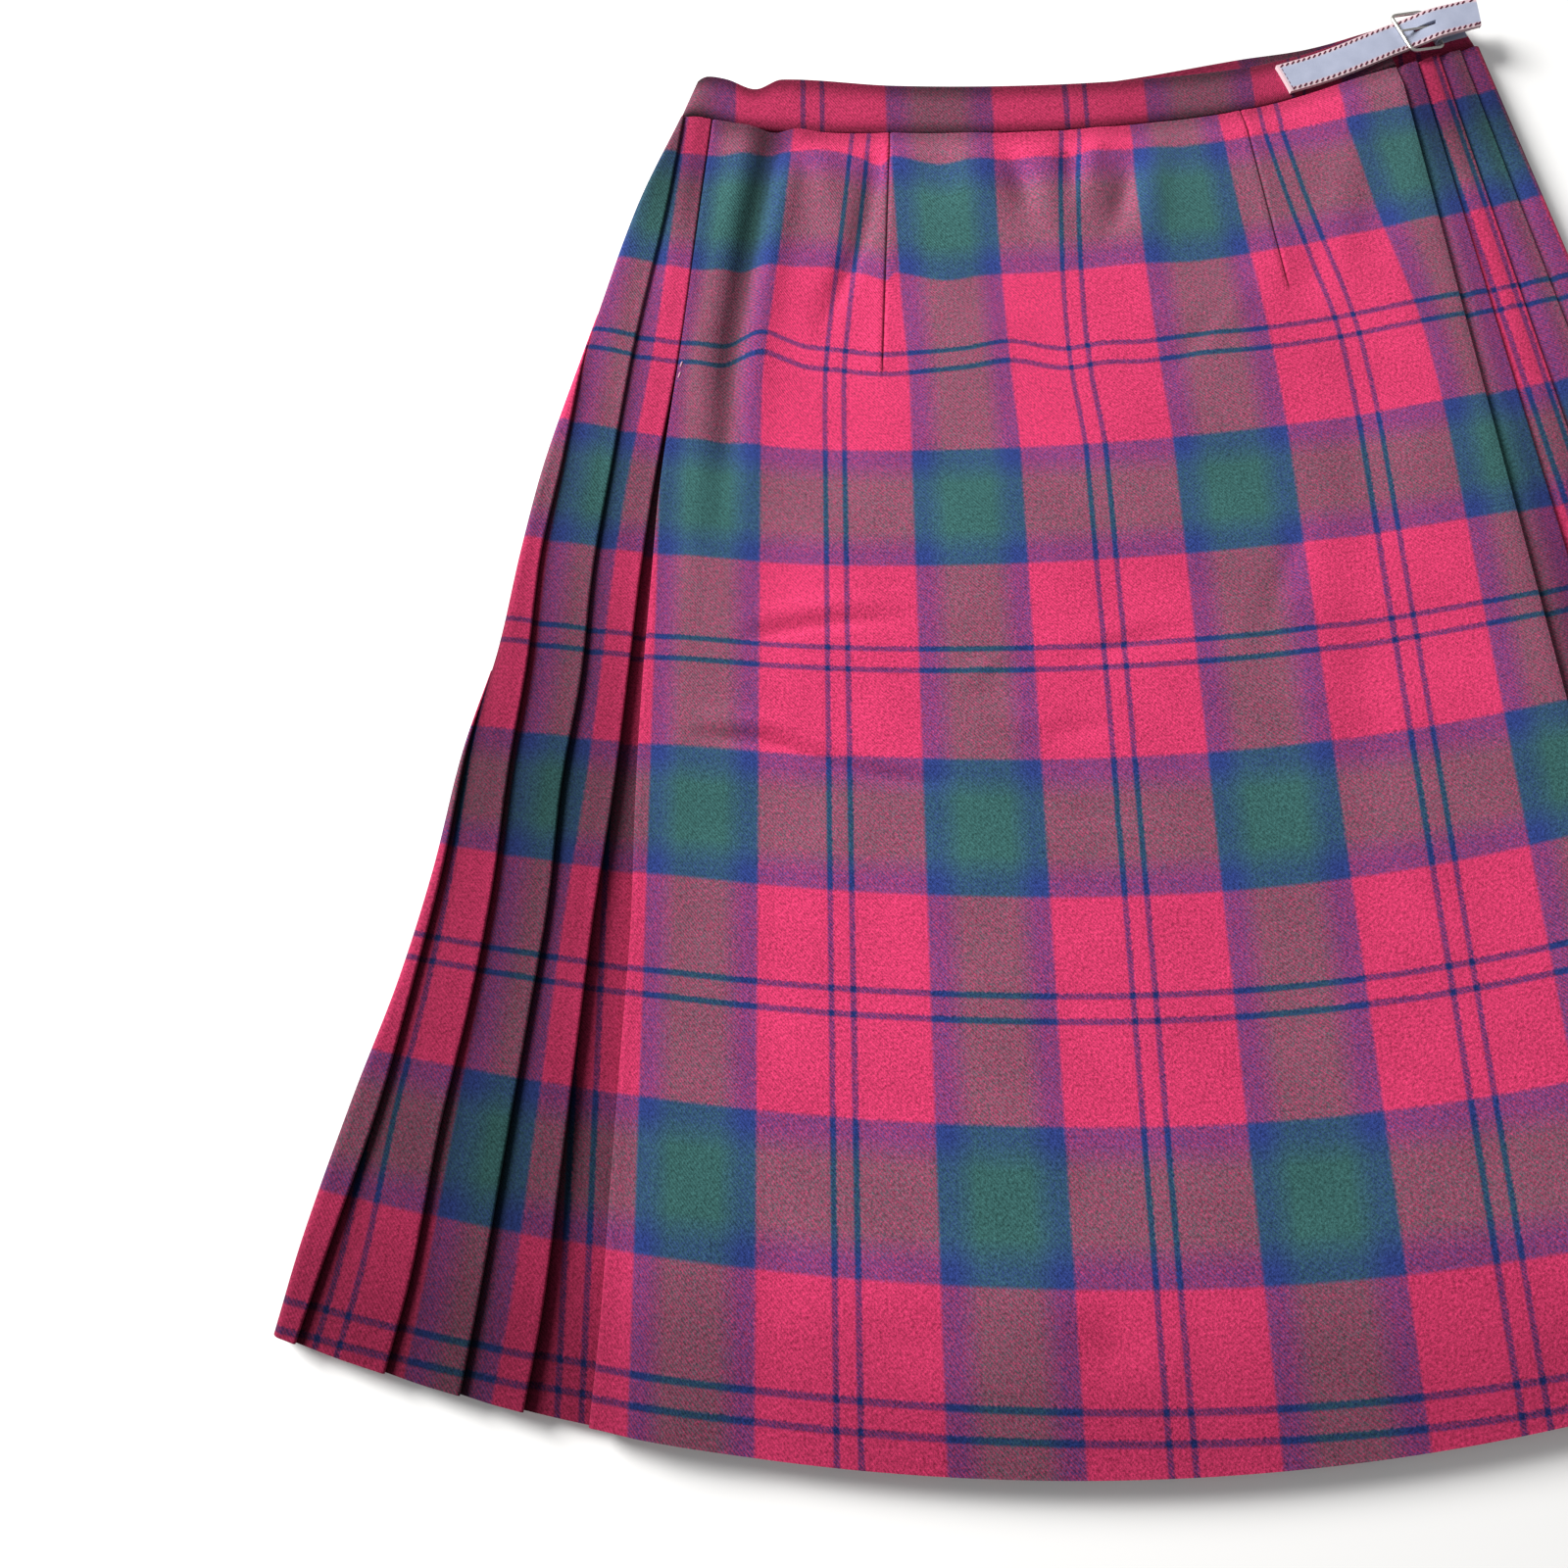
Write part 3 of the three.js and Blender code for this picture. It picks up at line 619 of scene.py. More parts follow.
# Long creases: their line through rows of (along, across), the half width, and the rise at each row. An
# upright one runs along Y, and a level one along X.
apronCreases = [
    {"upright": True, "wide": 7.5, "along": [100, 165, 213, 257, 290, 325, 353],
     "across": [-31, -29, -27, -21, -16, -10, -6], "rise": [0, -1.8, -3.0, -3.6, -3.8, -3.8, -2.8]},
    {"upright": True, "wide": 8, "along": [90, 165, 213, 257, 290, 325, 353],
     "across": [-18, -16, -14, -9, -4, 2, 7], "rise": [0, 0.8, 1.6, 2.1, 2.5, 2.5, 1.8]},
    {"upright": True, "wide": 5, "along": [120, 165, 213, 257, 290, 325, 353],
     "across": [-46, -44, -41, -35, -30, -24, -19], "rise": [0, 0.2, 0.4, 0.5, 0.5, 0.5, 0.4]},
    {"upright": True, "along": [215, 246, 279, 322, 340], "across": [18, 24, 36, 45, 48],
     "wide": 6, "rise": [0, -1.6, -2.4, -2.0, 0]},
    {"upright": False, "along": [-24, -10, 14, 36, 62], "across": [66, 68, 73, 75, 74],
     "wide": 3.0, "rise": [0, -1.2, -1.6, -1.3, 0]},
    {"upright": False, "along": [-24, -8, 16, 38, 62], "across": [76, 78, 82, 84, 83],
     "wide": 4.0, "rise": [0, 0.8, 1.0, 0.8, 0]},
    {"upright": False, "along": [-44, -28, -8, 6, 30, 58, 74], "across": [21, 19, 18, 14, 4, -1, -2],
     "wide": 2.8, "rise": [0, -1.5, -2.0, -1.9, -1.6, -1.1, 0]},
    {"upright": False, "along": [-44, -28, -8, 6, 30, 58, 74], "across": [29, 27, 26, 22, 12, 7, 6],
     "wide": 4.5, "rise": [0, 1.1, 1.2, 1.0, 0.9, 0.6, 0]},
]


def creasesRise(creases, x, y):
    # Sum of bell-shaped profiles across smooth lines
    total = np.zeros(np.broadcast(x, y).shape)
    for crease in creases:
        along, across = (y, x) if crease["upright"] else (x, y)
        line = smoothThrough(crease["along"], crease["across"])(along)
        rise = smoothThrough(crease["along"], crease["rise"])(along)
        total += rise * np.exp(-((across - line) / crease["wide"]) ** 2)
    return total


def foldsRise(folds, x, y):
    # Sum of bell shapes, each along its own turned axes
    total = np.zeros(np.broadcast(x, y).shape)
    for fold in folds:
        turn = math.radians(fold["turn"])
        dx, dy = x - fold["x"], y - fold["y"]
        along = (dy * math.cos(turn) - dx * math.sin(turn)) / fold["long"]
        aside = (dx * math.cos(turn) + dy * math.sin(turn)) / fold["wide"]
        total += fold["rise"] * np.exp(-along ** 2 - aside ** 2)
    return total


def arc(count, start, end):
    return np.radians(np.linspace(start, end, count))


def shadeApron(x, y, fold, relief):
    # Painted shade: the sum of what its hollows, fold, main crease and waist seam darken, eased to a limit
    hollow = np.clip(-relief - apronShade["hollowFrom"], 0, apronShade["hollowMost"])
    beside = np.exp(-((x - fold) / apronShade["foldWide"]) ** 2)
    shade = apronShade["hollow"] * hollow + apronShade["fold"] * beside
    shade = shade - apronShade["crease"] * creasesRise(apronCreases[:1], x, y)
    below = seamY(x) - y
    shade = shade + apronShade["seam"] * (1 - smoothStep(below, 0, apronShade["seamDeep"]))
    corner = np.exp(-((x - apronShade["cornerX"]) / apronShade["cornerWide"]) ** 2)
    corner = corner * (1 - smoothStep(below, apronShade["cornerFades"], apronShade["cornerDeep"]))
    shade = shade + apronShade["corner"] * corner
    return apronShade["most"] * np.tanh(shade / apronShade["most"])


def makeApron():
    # From the return's end below, round the fold, then the face to the free edge. The face's columns keep to
    # the darts, where they are close, and each dart is a narrow groove.
    down = np.linspace(0, 1, apron["rows"])[:, None]
    fold, edge = leftX["apron"](down), edgeX(down)
    returnZ = cloth["pleatLow"] + cloth["layer"]
    flat = cloth["frontFloor"] + cloth["layer"] + cloth["thick"] / 2

    def reliefAt(x, y):
        return foldsRise(apronFolds, x, y) + creasesRise(apronCreases, x, y)

    def faceZ(x, y):
        overReturn = 1 - smoothStep(x - fold, apron["return"], apron["return"] + apron["foldFall"])
        overPleats = 1 - smoothStep(edge - x, apron["underlap"], apron["underlap"] + apron["edgeFall"])
        inside = smoothStep(x - fold, 3, 20) * smoothStep(seamY(x) - y, -2, 16)
        lift = np.maximum(overReturn, overPleats) * cloth["layer"]
        lift = lift + apron["lift"] + apron["liftInside"] * inside
        return flat + np.maximum(lift + reliefAt(x, y) * smoothStep(x - fold, -2, 8), 0.05)

    lines = []
    for dart in darts:
        topShare = (dart["top"][0] - fold[0, 0]) / (edge[0, 0] - fold[0, 0])
        tipDown = (dart["top"][1] - dart["tip"][1]) / (dart["top"][1] - hem["lowY"])
        tipFold, tipEdge = leftX["apron"](tipDown), edgeX(tipDown)
        tipShare = (dart["tip"][0] - tipFold) / (tipEdge - tipFold)
        lines.append(mix(topShare, tipShare, np.minimum(down / tipDown, 1.0)))
    near = apron["dartSpread"]
    closeBy = np.array([-3, -2, -1.3, -0.8, -0.4, 0, 0.4, 0.8, 1.3, 2, 3]) * near / 3
    wide = edge - fold
    stretches = []
    before = 0.0 * down
    for i, line in enumerate(lines + [None]):
        end = 1.0 + 0 * down if line is None else line - near / wide
        count = int(apron["columns"] * float((end - before).mean())) + 1
        start = before + (near * 0.5 / wide if i else 0)
        stretches.append(mix(start, end, np.linspace(0, 1, count)[None, :]))
        if line is not None:
            stretches.append(line + closeBy[None, 1:] / wide)
            before = line + near / wide
    share = np.concatenate(stretches, axis=1)
    faceX = mix(fold, edge, share)
    radius = float(faceZ(fold, fanY(fold, down, leftX["apron"], edgeX)).mean() - returnZ) / 2
    faceX = np.maximum(faceX, fold + radius)
    faceY = fanY(faceX, down, leftX["apron"], edgeX)
    height = faceZ(faceX, faceY)
    shade = shadeApron(faceX, faceY, fold, reliefAt(faceX, faceY))
    for dart in darts:
        away = faceX - dartX(dart, faceY)
        tipY = dart["tip"][1]
        groove = apron["dartDeep"] * np.exp(-(away / apron["dartGroove"]) ** 2)
        swell = apron["dartSwell"] * np.exp(-(away / apron["dartSwellWide"]) ** 2)
        height = height + smoothStep(faceY, tipY - 2, tipY + 12) * (swell - groove)
        # Painted shade along the dart's groove
        line = smoothStep(faceY, tipY - 1, tipY + 3) * np.exp(-(away / apronShade["dartWide"]) ** 2)
        shade = np.maximum(shade, apronShade["dart"] * line)
    height = height - apron["edgeDrop"] * np.exp(-(edge - faceX) / apron["edgeDropWide"])
    bend = arc(apron["foldSteps"], -90, 90)[None, 1:-1]
    bendX = fold + radius * (1 - np.cos(bend))
    bendZ = mix(returnZ, height[:, :1], (np.sin(bend) + 1) / 2)
    backX = fold + mix(apron["return"], radius, np.linspace(0, 1, apron["returnColumns"])[None, :])
    x = np.concatenate([backX, bendX, faceX], axis=1)
    z = np.concatenate([returnZ + 0 * backX, bendZ, height], axis=1)
    y = fanY(x, down, leftX["apron"], edgeX)
    points = grid(x, y, z)[:, ::-1]
    # The check goes on round the fold, by the distance along a row
    row = apron["measuredRow"]
    arms = lengthAlong(np.stack([x[row], z[row]], axis=-1))
    hidden = backX.shape[1] + bendX.shape[1]
    across = placeAcross(x, y)
    across[:, :hidden] = across[:, hidden:hidden + 1] - (arms[hidden] - arms[:hidden])[None, :]
    # Painted shade on the return and round the fold
    shade = np.concatenate([0 * x[:, :hidden] + apronShade["return"], shade], axis=1)
    return points, marksOf(points, across[:, ::-1], shade[:, ::-1])


def declareCloth(piece, node):
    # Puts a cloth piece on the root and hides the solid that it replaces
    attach(piece, "root")
    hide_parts(node)


apronPoints, apronMarks = makeApron()
apronPiece = makePiece("apronCloth", wall(apronPoints, apronMarks), woolMaterial)
declareCloth(apronPiece, "front_apron")


# Knife pleats

pleats = {
    "rows": 150,
    "faceColumns": 24,
    "bulge": 0.7,
    "kickUnderlay": 22.0,
    "radius": 0.5,
    "thick": 0.7,
    "stitchedDrop": 1.75,
    "opens": (0.28, 0.6),           # shares of the way down between which the stitching ends
}
# Places in the check at the outer folds, and at plan X = 0 for the kick pleat's underlay
pleatPlaces = {
    "left": {"pleat1": 38.3, "pleat2": -4.0, "pleat3": 86.0, "pleat4": 40.0},
    "underlay": 143.5,
    "right": [30, -10, 70, 25],
}
# Painted shade: how much darker the pleats are high up and low down, close under the waist and beside
# the next pleat's fold
pleatShades = {"high": 0.2, "low": 0.52, "waist": 0.34, "beside": 0.75, "besideWide": 7.0}


def wrapSide(x, z, outline, side):
    # Cloth nearer to the outline than a radius is turned down about an axis inside the edge, so that all of
    # it ends above the back's side. side is -1 at the left and 1 at the right.
    radius = cloth["sideRadius"]
    axis = outline - side * radius
    turn = np.maximum((x - axis) * side / radius, 0)
    floorZ = cloth["frontFloor"]
    out = z - floorZ
    settled = mix(out, radius - 0.6 + 0.12 * (out - 2.4), np.sin(turn) ** 2)
    wrappedX = axis + side * settled * np.sin(turn)
    return np.where(turn > 0, wrappedX, x), np.where(turn > 0, floorZ + settled * np.cos(turn), z)


def wrapEnd(outline, side):
    # Where cloth that is wrapped over the side ends, a quarter turn on
    return outline + side * (math.pi / 2 - 1) * cloth["sideRadius"]


def faceHeight(x, fold, inner, nextFold, down):
    # Falls from the fold to the next pleat's fold, with a slight bulge, and then on to the inner fold. Near
    # the waist, where the pleats are stitched down, it stays higher up to the next fold.
    high = cloth["pleatHigh"]
    seen = np.maximum(fold - nextFold, 1)
    shown = (fold - x) / seen
    even = pleatRise * np.clip(seen / (fold - inner), 0, 1)
    drop = mix(np.minimum(pleats["stitchedDrop"], even), even, smoothStep(down, *pleats["opens"]))
    beyond = np.clip((fold - seen - x) / np.maximum(fold - seen - inner, 0.5), 0, 1)
    bulge = pleats["bulge"] * np.sin(math.pi * np.clip(shown, 0, 1)) ** 2
    return high - drop * np.clip(shown, 0, 1) - (pleatRise - drop) * beyond + bulge


def pleatShade(down, x=0.0, nextFold=None):
    # Painted shade: the pleats are darker near the waist, towards the hem and beside the next pleat's fold
    shade = mix(pleatShades["high"], pleatShades["low"], smoothStep(down, 0.25, 0.6))
    shade = shade + pleatShades["waist"] * (1 - smoothStep(down, 0.06, 0.15))
    if nextFold is None:
        return shade
    beside = np.exp(-np.maximum(x - nextFold, 0) / pleatShades["besideWide"]) * smoothStep(down, 0.1, 0.3)
    return 1 - (1 - shade) * (1 - pleatShades["beside"] * beside)


def pleatPath(fold, inner, nextInner, nextFold, rightFace, floorX, down):
    # Across one pleat from right to left: the inner fold, the return above the last face, the outer fold and
    # the face. Nothing goes left of floorX. Also gives the distance along the cloth from the outer fold,
    # growing to the right on the face.
    radius = pleats["radius"]
    low, layer = cloth["pleatLow"], cloth["layer"]
    foldX = fold - pleats["thick"] / 2 - radius
    start = np.maximum(inner, floorX)
    returnLow = low + layer
    returnHigh = cloth["pleatHigh"] - 2 * radius

    def returnZ(x):
        return mix(returnLow, returnHigh, np.clip((x - inner) / (foldX - inner), 0, 1))

    under = rightFace(start)
    shrink = np.clip((inner - floorX) / 3, 0.02, 1)
    turn = arc(7, -90, 90)[None, :]
    innerX = start - radius * shrink * np.cos(turn)
    innerZ = mix(under, returnZ(start), (np.sin(turn) + 1) / 2)
    backX = mix(start, foldX, np.linspace(0, 1, 9)[None, 1:-1])
    outerX = foldX + radius * np.cos(turn)
    outerZ = cloth["pleatHigh"] - radius + radius * np.sin(turn) + 0 * foldX
    end = np.maximum(nextInner, floorX)
    steps = np.linspace(0, 1, pleats["faceColumns"] + 1)[None, 1:]
    faceX = mix(foldX, np.minimum(end, foldX - 0.4), steps)
    faceZ = faceHeight(faceX, foldX, nextInner, nextFold, down)
    x = np.concatenate([innerX, backX, outerX, faceX], axis=1)
    z = np.concatenate([innerZ, returnZ(backX), outerZ, faceZ], axis=1)
    middle = innerX.shape[1] + backX.shape[1] + outerX.shape[1] // 2
    steps = np.hypot(np.diff(x, axis=1), np.diff(z, axis=1))
    length = np.concatenate([np.zeros_like(x[:, :1]), np.cumsum(steps, axis=1)], axis=1)
    return x, z, length[:, middle:middle + 1] - length


def levelsFrom(start, rows):
    return np.linspace(start, 1, rows)[:, None]


def makePleatPiece(name, patches, node):
    # All patches as walls in one piece, which replaces the solid node
    piece = makePiece(name, join([wall(*patch, pleats["thick"]) for patch in patches]), woolMaterial)
    declareCloth(piece, node)


def makeLeftPleats():
    places = pleatPlaces["left"]
    names = list(places)

    def foldAt(i, down):
        if i < len(names):
            return leftX[names[i]](down)
        return leftX["pleat4"](down) - 35

    def innerAt(i, down):
        left = foldAt(i, down) - foldAt(i + 1, down)
        right = foldAt(i - 1, down) - foldAt(i, down) if i > 0 else np.inf
        return foldAt(i, down) - cloth["knifeDepth"] * np.minimum(left, right)

    def finishPatch(x, z, down, across, nextFold=None):
        wrappedX, wrappedZ = wrapSide(x, z, leftX["outline"](down), -1)
        points = grid(wrappedX, fanY(x, down, leftX["outline"], leftX["apron"]), wrappedZ)
        return points, marksOf(grid(x, points[..., 1], z), across, pleatShade(down, x, nextFold))

    probe = np.linspace(0, 1, 401)
    down = levelsFrom(0.0, pleats["rows"])
    start = leftX["apron"](down) + pleats["kickUnderlay"]
    underX = mix(start, innerAt(0, down), np.linspace(0, 1, 22)[None, :])
    underZ = cloth["pleatLow"] + 0 * underX
    patches = [finishPatch(underX, underZ, down, underX + pleatPlaces["underlay"], foldAt(0, down))]
    for i, name in enumerate(names):
        # A pleat starts at the level where its fold comes in from the side
        shown = foldAt(i, probe) > wrapEnd(leftX["outline"](probe), -1) + 1.0
        first = probe[np.argmax(shown)]
        down = levelsFrom(first, max(int(pleats["rows"] * (1 - first)), 20))
        fold, nextFold = foldAt(i, down), foldAt(i + 1, down)
        inner, nextInner = innerAt(i, down), innerAt(i + 1, down)

        def rightFace(x, i=i, down=down, inner=inner, fold=fold):
            if i == 0:
                return cloth["pleatLow"] + 0 * x
            rightX = foldAt(i - 1, down) - pleats["thick"] / 2 - pleats["radius"]
            return faceHeight(x, rightX, inner, fold, down)

        floorX = wrapEnd(leftX["outline"](down), -1)
        x, z, along = pleatPath(fold, inner, nextInner, nextFold, rightFace, floorX, down)
        patches.append(finishPatch(x, z, down, places[name] + along, nextFold))
    return patches


makePleatPiece("leftPleatsCloth", makeLeftPleats(), "left_front_pleats")


def makeRightPleats():
    # Four faces from the right outline to the apron's free edge. The first comes up over the side.
    places = pleatPlaces["right"]
    count = len(places)
    down = levelsFrom(0.0, pleats["rows"])
    outline = outlineX(down)
    start = edgeX(down) - apron["underlap"]

    def foldAt(i, at):
        return mix(outlineX(at), edgeX(at), i / count)

    def innerAt(i):
        if i == count:
            return mix(start, foldAt(count - 1, down), cloth["knifeDepth"] / 3)
        return foldAt(i, down) - cloth["knifeDepth"] * (foldAt(i, down) - foldAt(i + 1, down))

    sideX = mix(wrapEnd(outline, 1), innerAt(1), np.linspace(0, 1, 40)[None, :])
    sideZ = np.minimum(faceHeight(sideX, outline, innerAt(1), foldAt(1, down), down), cloth["pleatHigh"])
    wrappedX, wrappedZ = wrapSide(sideX, sideZ, outline, 1)
    y = fanY(sideX, down, edgeX, outlineX)
    marks = marksOf(grid(sideX, y, sideZ), sideX - outline + places[0], pleatShade(down))
    patches = [(grid(wrappedX, y, wrappedZ), marks)]
    for i in range(1, count):
        fold, inner, nextInner = foldAt(i, down), innerAt(i), innerAt(i + 1)
        nextFold = foldAt(i + 1, down) if i + 1 < count else edgeX(down)
        rightX = foldAt(i - 1, down) - (pleats["thick"] / 2 + pleats["radius"] if i > 1 else 0)

        def rightFace(x, rightX=rightX, inner=inner, fold=fold):
            return faceHeight(x, rightX, inner, fold, down)

        x, z, along = pleatPath(fold, inner, nextInner, nextFold, rightFace, start - 100, down)
        points = grid(x, fanY(x, down, edgeX, outlineX), z)
        patches.append((points, marksOf(points, places[i] + along, pleatShade(down))))
    return patches


makePleatPiece("rightPleatsCloth", makeRightPleats(), "right_front_pleats")


# Under apron, flat between the layers

underApron = {"rows": 40, "columns": 30, "leftInset": 45.0, "rightInset": 20.3}


def makeUnderApron():
    down = levelsFrom(0.0, underApron["rows"])
    left, right = leftX["apron"](down) + underApron["leftInset"], edgeX(down) - underApron["rightInset"]
    x = mix(right, left, np.linspace(0, 1, underApron["columns"])[None, :])
    points = grid(x, fanY(x, down, leftX["apron"], edgeX), cloth["pleatLow"])
    return points, marksOf(points)


underPoints, underMarks = makeUnderApron()
underPiece = makePiece("underApronCloth", wall(underPoints, underMarks), woolMaterial)
declareCloth(underPiece, "under_apron")


# Pleated back

back = {
    "count": 26, "depth": 0.55, "rows": 30, "faceZ": 0.6, "slot": 1.5,
    "foldRadius": 0.72, "step": 1.6, "sideInset": 0.6, "sideRadius": 1.6, "sideTop": 4.35,
}


def makeBack():
    # Face down: each pleat's face on the surface, then its two inner layers above it. The cloth turns up at
    # both sides to meet the front.
    down = levelsFrom(0.0, back["rows"])
    left, right = leftX["outline"](down), outlineX(down)
    faceZ, half, radius = back["faceZ"], cloth["thick"] / 2, back["foldRadius"]
    inset, side, step = back["sideInset"], back["sideRadius"], back["step"]
    xs, zs = [], []

    def add(x, z):
        xs.append(x + 0 * down)
        zs.append(z + 0 * x)

    def addFlat(start, end, count, layer):
        # A level stretch of count points, its start left out, on a layer counted from below
        level = np.full((1, count), faceZ + 2 * layer * radius)
        add(mix(start, end, np.linspace(0, 1, count + 1)[None, 1:]), level)

    turn = arc(6, 180, 270)[None, :]
    add(left + inset + 0 * turn[:, :1], np.full((1, 1), back["sideTop"]))
    add(left + inset + side * (1 + np.cos(turn)), faceZ + side * (1 + np.sin(turn)))
    for i in range(1, back["count"]):
        fold = mix(left, right, i / back["count"]) - back["slot"] / 2
        inner = mix(left, right, (i - back["depth"]) / back["count"])
        nextX = fold + back["slot"]
        turn = arc(6, -90, 90)[None, 1:]
        addFlat(xs[-1][:, -1:], fold - half, 5, 0)
        add(fold - half + (radius - 0.2) * np.cos(turn), faceZ + radius + radius * np.sin(turn))
        addFlat(fold - half, inner + half, 4, 1)
        add(inner + half - radius * np.cos(turn), faceZ + 3 * radius + radius * np.sin(turn))
        addFlat(inner + half, nextX - step / 2, 4, 2)
        drop = np.linspace(0, 1, 7)[None, 1:]
        add(nextX - step / 2 + step * drop ** 0.5, faceZ + 4 * radius * (1 - drop ** 2 * (3 - 2 * drop)))
    turn = arc(6, 270, 360)[None, :]
    add(mix(xs[-1][:, -1:], right - 2.3, np.linspace(0, 1, 6)[None, 1:-1]), np.full((1, 4), faceZ))
    add(right - inset - side + side * np.cos(turn), faceZ + side * (1 + np.sin(turn)))
    add(right - inset, np.full((1, 1), back["sideTop"]))
    x = np.concatenate(xs, axis=1)
    z = np.concatenate([np.broadcast_to(z, x.shape[:1] + z.shape[1:]) for z in zs], axis=1)
    points = grid(x, fanY(x, down, leftX["outline"], outlineX), z)
    return points, marksOf(points, 1.0 * x)


backPoints, backMarks = makeBack()
backPiece = makePiece("backCloth", wall(backPoints, backMarks), woolMaterial)
declareCloth(backPiece, "pleated_back")


# Waistband

band = {"thick": 2.4, "stations": 220, "puff": 0.5, "middleRows": 11, "edgeSteps": 6}
bands = {
    "waistband_back": {
        "name": "backBand", "rests": "floor", "top": backTopY,
        "x": [-54.5, 372], "z": [0, 0],
        "markX": [-54.5, 150, 204, 244, 272, 372], "place": [-174, 10, 62.5, 99, 125, 225],
    },
    "waistband_under": {
        "name": "underBand", "rests": "backBand", "top": backTopY,
        "x": [20, 298, 325, 345, 368, 372], "z": [3.15, 3.15, 4.65, 5.95, 5.95, 3.15],
        "markX": [20, 244, 372], "place": [0, 99, 225],
    },
    "waistband_front": {
        "name": "frontBand", "rests": "underBand", "top": frontTopY,
        "x": [-54.5, -49, -38, -10, 60, 280, 298, 324],
        "z": [3.15, 6.55, 7.35, 6.35, 6.15, 6.15, 6.55, 8.15],
        "markX": [-54.5, -26, 14.5, 53, 80, 109, 153.5, 190, 219, 247.5, 295, 324],
        "place": [4, 26, 62.5, 99, 125, 151, 187.5, 224, 250, 276, 349, 375],
    },
}
# Painted shade on the waistband: darker all over, at its folded top edge, along the waist seam and at its
# left end
bandShade = {"all": 0.37, "top": 0.4, "seam": 0.42, "left": 0.15}
bandRows = {"place": 189.5, "tall": 26.0}


def leanAt(x):
    # How far the band's upper edge lies to the right of its lower one
    return mix(9, -10, (x + 54.5) / 426.5)


def makeBand(stretch):
    # Along the band, rings with rounded edges: a low edge at the waist seam, a folded edge above, and a
    # slight puff between
    x = np.linspace(stretch["x"][0], stretch["x"][-1], band["stations"])[:, None]
    base = smoothThrough(stretch["x"], stretch["z"])(x)
    low, lean = seamY(x) + cloth["seamGap"], leanAt(x)
    tall = stretch["top"](x + lean) - low
    radius = band["thick"] / 2
    curve = arc(band["edgeSteps"], 0, 90)
    inset = radius * (1 - np.cos(curve))[None, :]
    height = np.sin(curve)[None, :]
    middle = np.linspace(0, 1, band["middleRows"] + 2)[None, 1:-1]
    level = mix(radius, tall - radius, middle)
    away = np.concatenate([inset + 0 * tall, level, tall - inset[:, ::-1]], axis=1)
    full = np.concatenate([height, np.ones_like(middle), height[:, ::-1]], axis=1)
    share = away / tall
    # The band's two ends are half as thick
    end = np.minimum(np.arange(len(x)), np.arange(len(x))[::-1])[:, None]
    rounding = np.where(end > 1, 1.0, np.sqrt(np.clip(1 - (1 - end / 1.5) ** 2, 0.25, 1)))
    puff = band["puff"] * np.sin(math.pi * share) ** 0.6
    top = base + radius + (radius * full + puff) * rounding
    under = base + radius - radius * full * rounding
    ringX = x + lean * share
    ringY = low + tall * share
    rings = np.concatenate([grid(ringX, ringY, top), grid(ringX, ringY, under)[:, ::-1][:, 1:-1]], axis=1)
    across = np.interp(rings[..., 0] - lean * 0.1, stretch["markX"], stretch["place"])
    rise = (rings[..., 1] - low) / tall
    # Painted shade: darker towards the folded top edge, along the waist seam and at the left end
    shade = bandShade["all"] + bandShade["top"] * smoothStep(rise, 0.55, 0.97)
    shade = shade + bandShade["seam"] * (1 - smoothStep(rise, 0.0, 0.3))
    shade = shade + bandShade["left"] * (1 - smoothStep(rings[..., 0], -50, -25))
    marks = np.stack([across, bandRows["place"] + rise * bandRows["tall"], shade], axis=-1)
    long, wide = float(np.ptp(x)) * mm * 1.02, float(tall.max() + 2 * radius) * mm
    return bar(rings, marks), (long, wide, long * wide * 0.98)


for node, stretch in bands.items():
    shape, flat = makeBand(stretch)
    piece = makePiece(stretch["name"], shape, woolMaterial)
    declareCloth(piece, node)


# Strap and buckle

strap = {
    "wide": 18.0, "thick": 1.8, "crown": 0.25, "rows": 120,
    "route": {
        "x": [265, 285, 305, 322, 331, 340, 347, 353, 362, 374],
        "z": [10.0, 10.2, 11.1, 12.0, 12.1, 13.5, 15.0, 15.5, 15.5, 15.5],
    },
    # Where its middle line lies between the band's lower edge, 0, and its upper one, 1
    "middle": {"x": [265, 300, 330], "share": [0.43, 0.45, 0.53]},
    "border": 2.6,
    "holeAt": 344.2, "holeLong": 12.0, "holeWide": 2.4,
}
stitches = {"pitch": 3.2, "long": 2.6, "wide": 0.9, "slant": 0.7, "inset": 1.3, "high": 0.22, "endPitch": 2.9}
buckle = {
    "x": 341.0, "share": 0.53, "turn": 0.33, "long": 22.0, "wide": 27.0, "round": 3.0, "bar": 0.9,
    "heelZ": 11.5, "tipZ": 14.5, "prong": 0.7,
}
leather = {"dark": (0.30, 0.33, 0.44, 1), "pale": (0.42, 0.45, 0.58, 1), "border": (0.62, 0.46, 0.50, 1)}
threads = {
    "stitchThread": [(0.055, 0.006, 0.02, 1), (0.16, 0.02, 0.05, 1)],
    "tackThread": [(0.42, 0.17, 0.24, 1), (0.68, 0.40, 0.48, 1)],
}


def strapLine():
    # Middle line of the strap along the band, evenly divided in X, with its three directions
    route = strap["route"]
    x = np.linspace(route["x"][0], route["x"][-1], strap["rows"])
    z = smoothThrough(route["x"], route["z"])(x)
    share = smoothThrough(strap["middle"]["x"], strap["middle"]["share"])(x)
    points = np.stack([x + leanAt(x) * share, mix(seamY(x), frontTopY(x), share), z], axis=-1)
    along = tangents(points, 0)
    aside = unit(np.stack([-along[:, 1], along[:, 0], 0 * x], axis=-1))
    return x, points, along, aside, np.cross(along, aside)


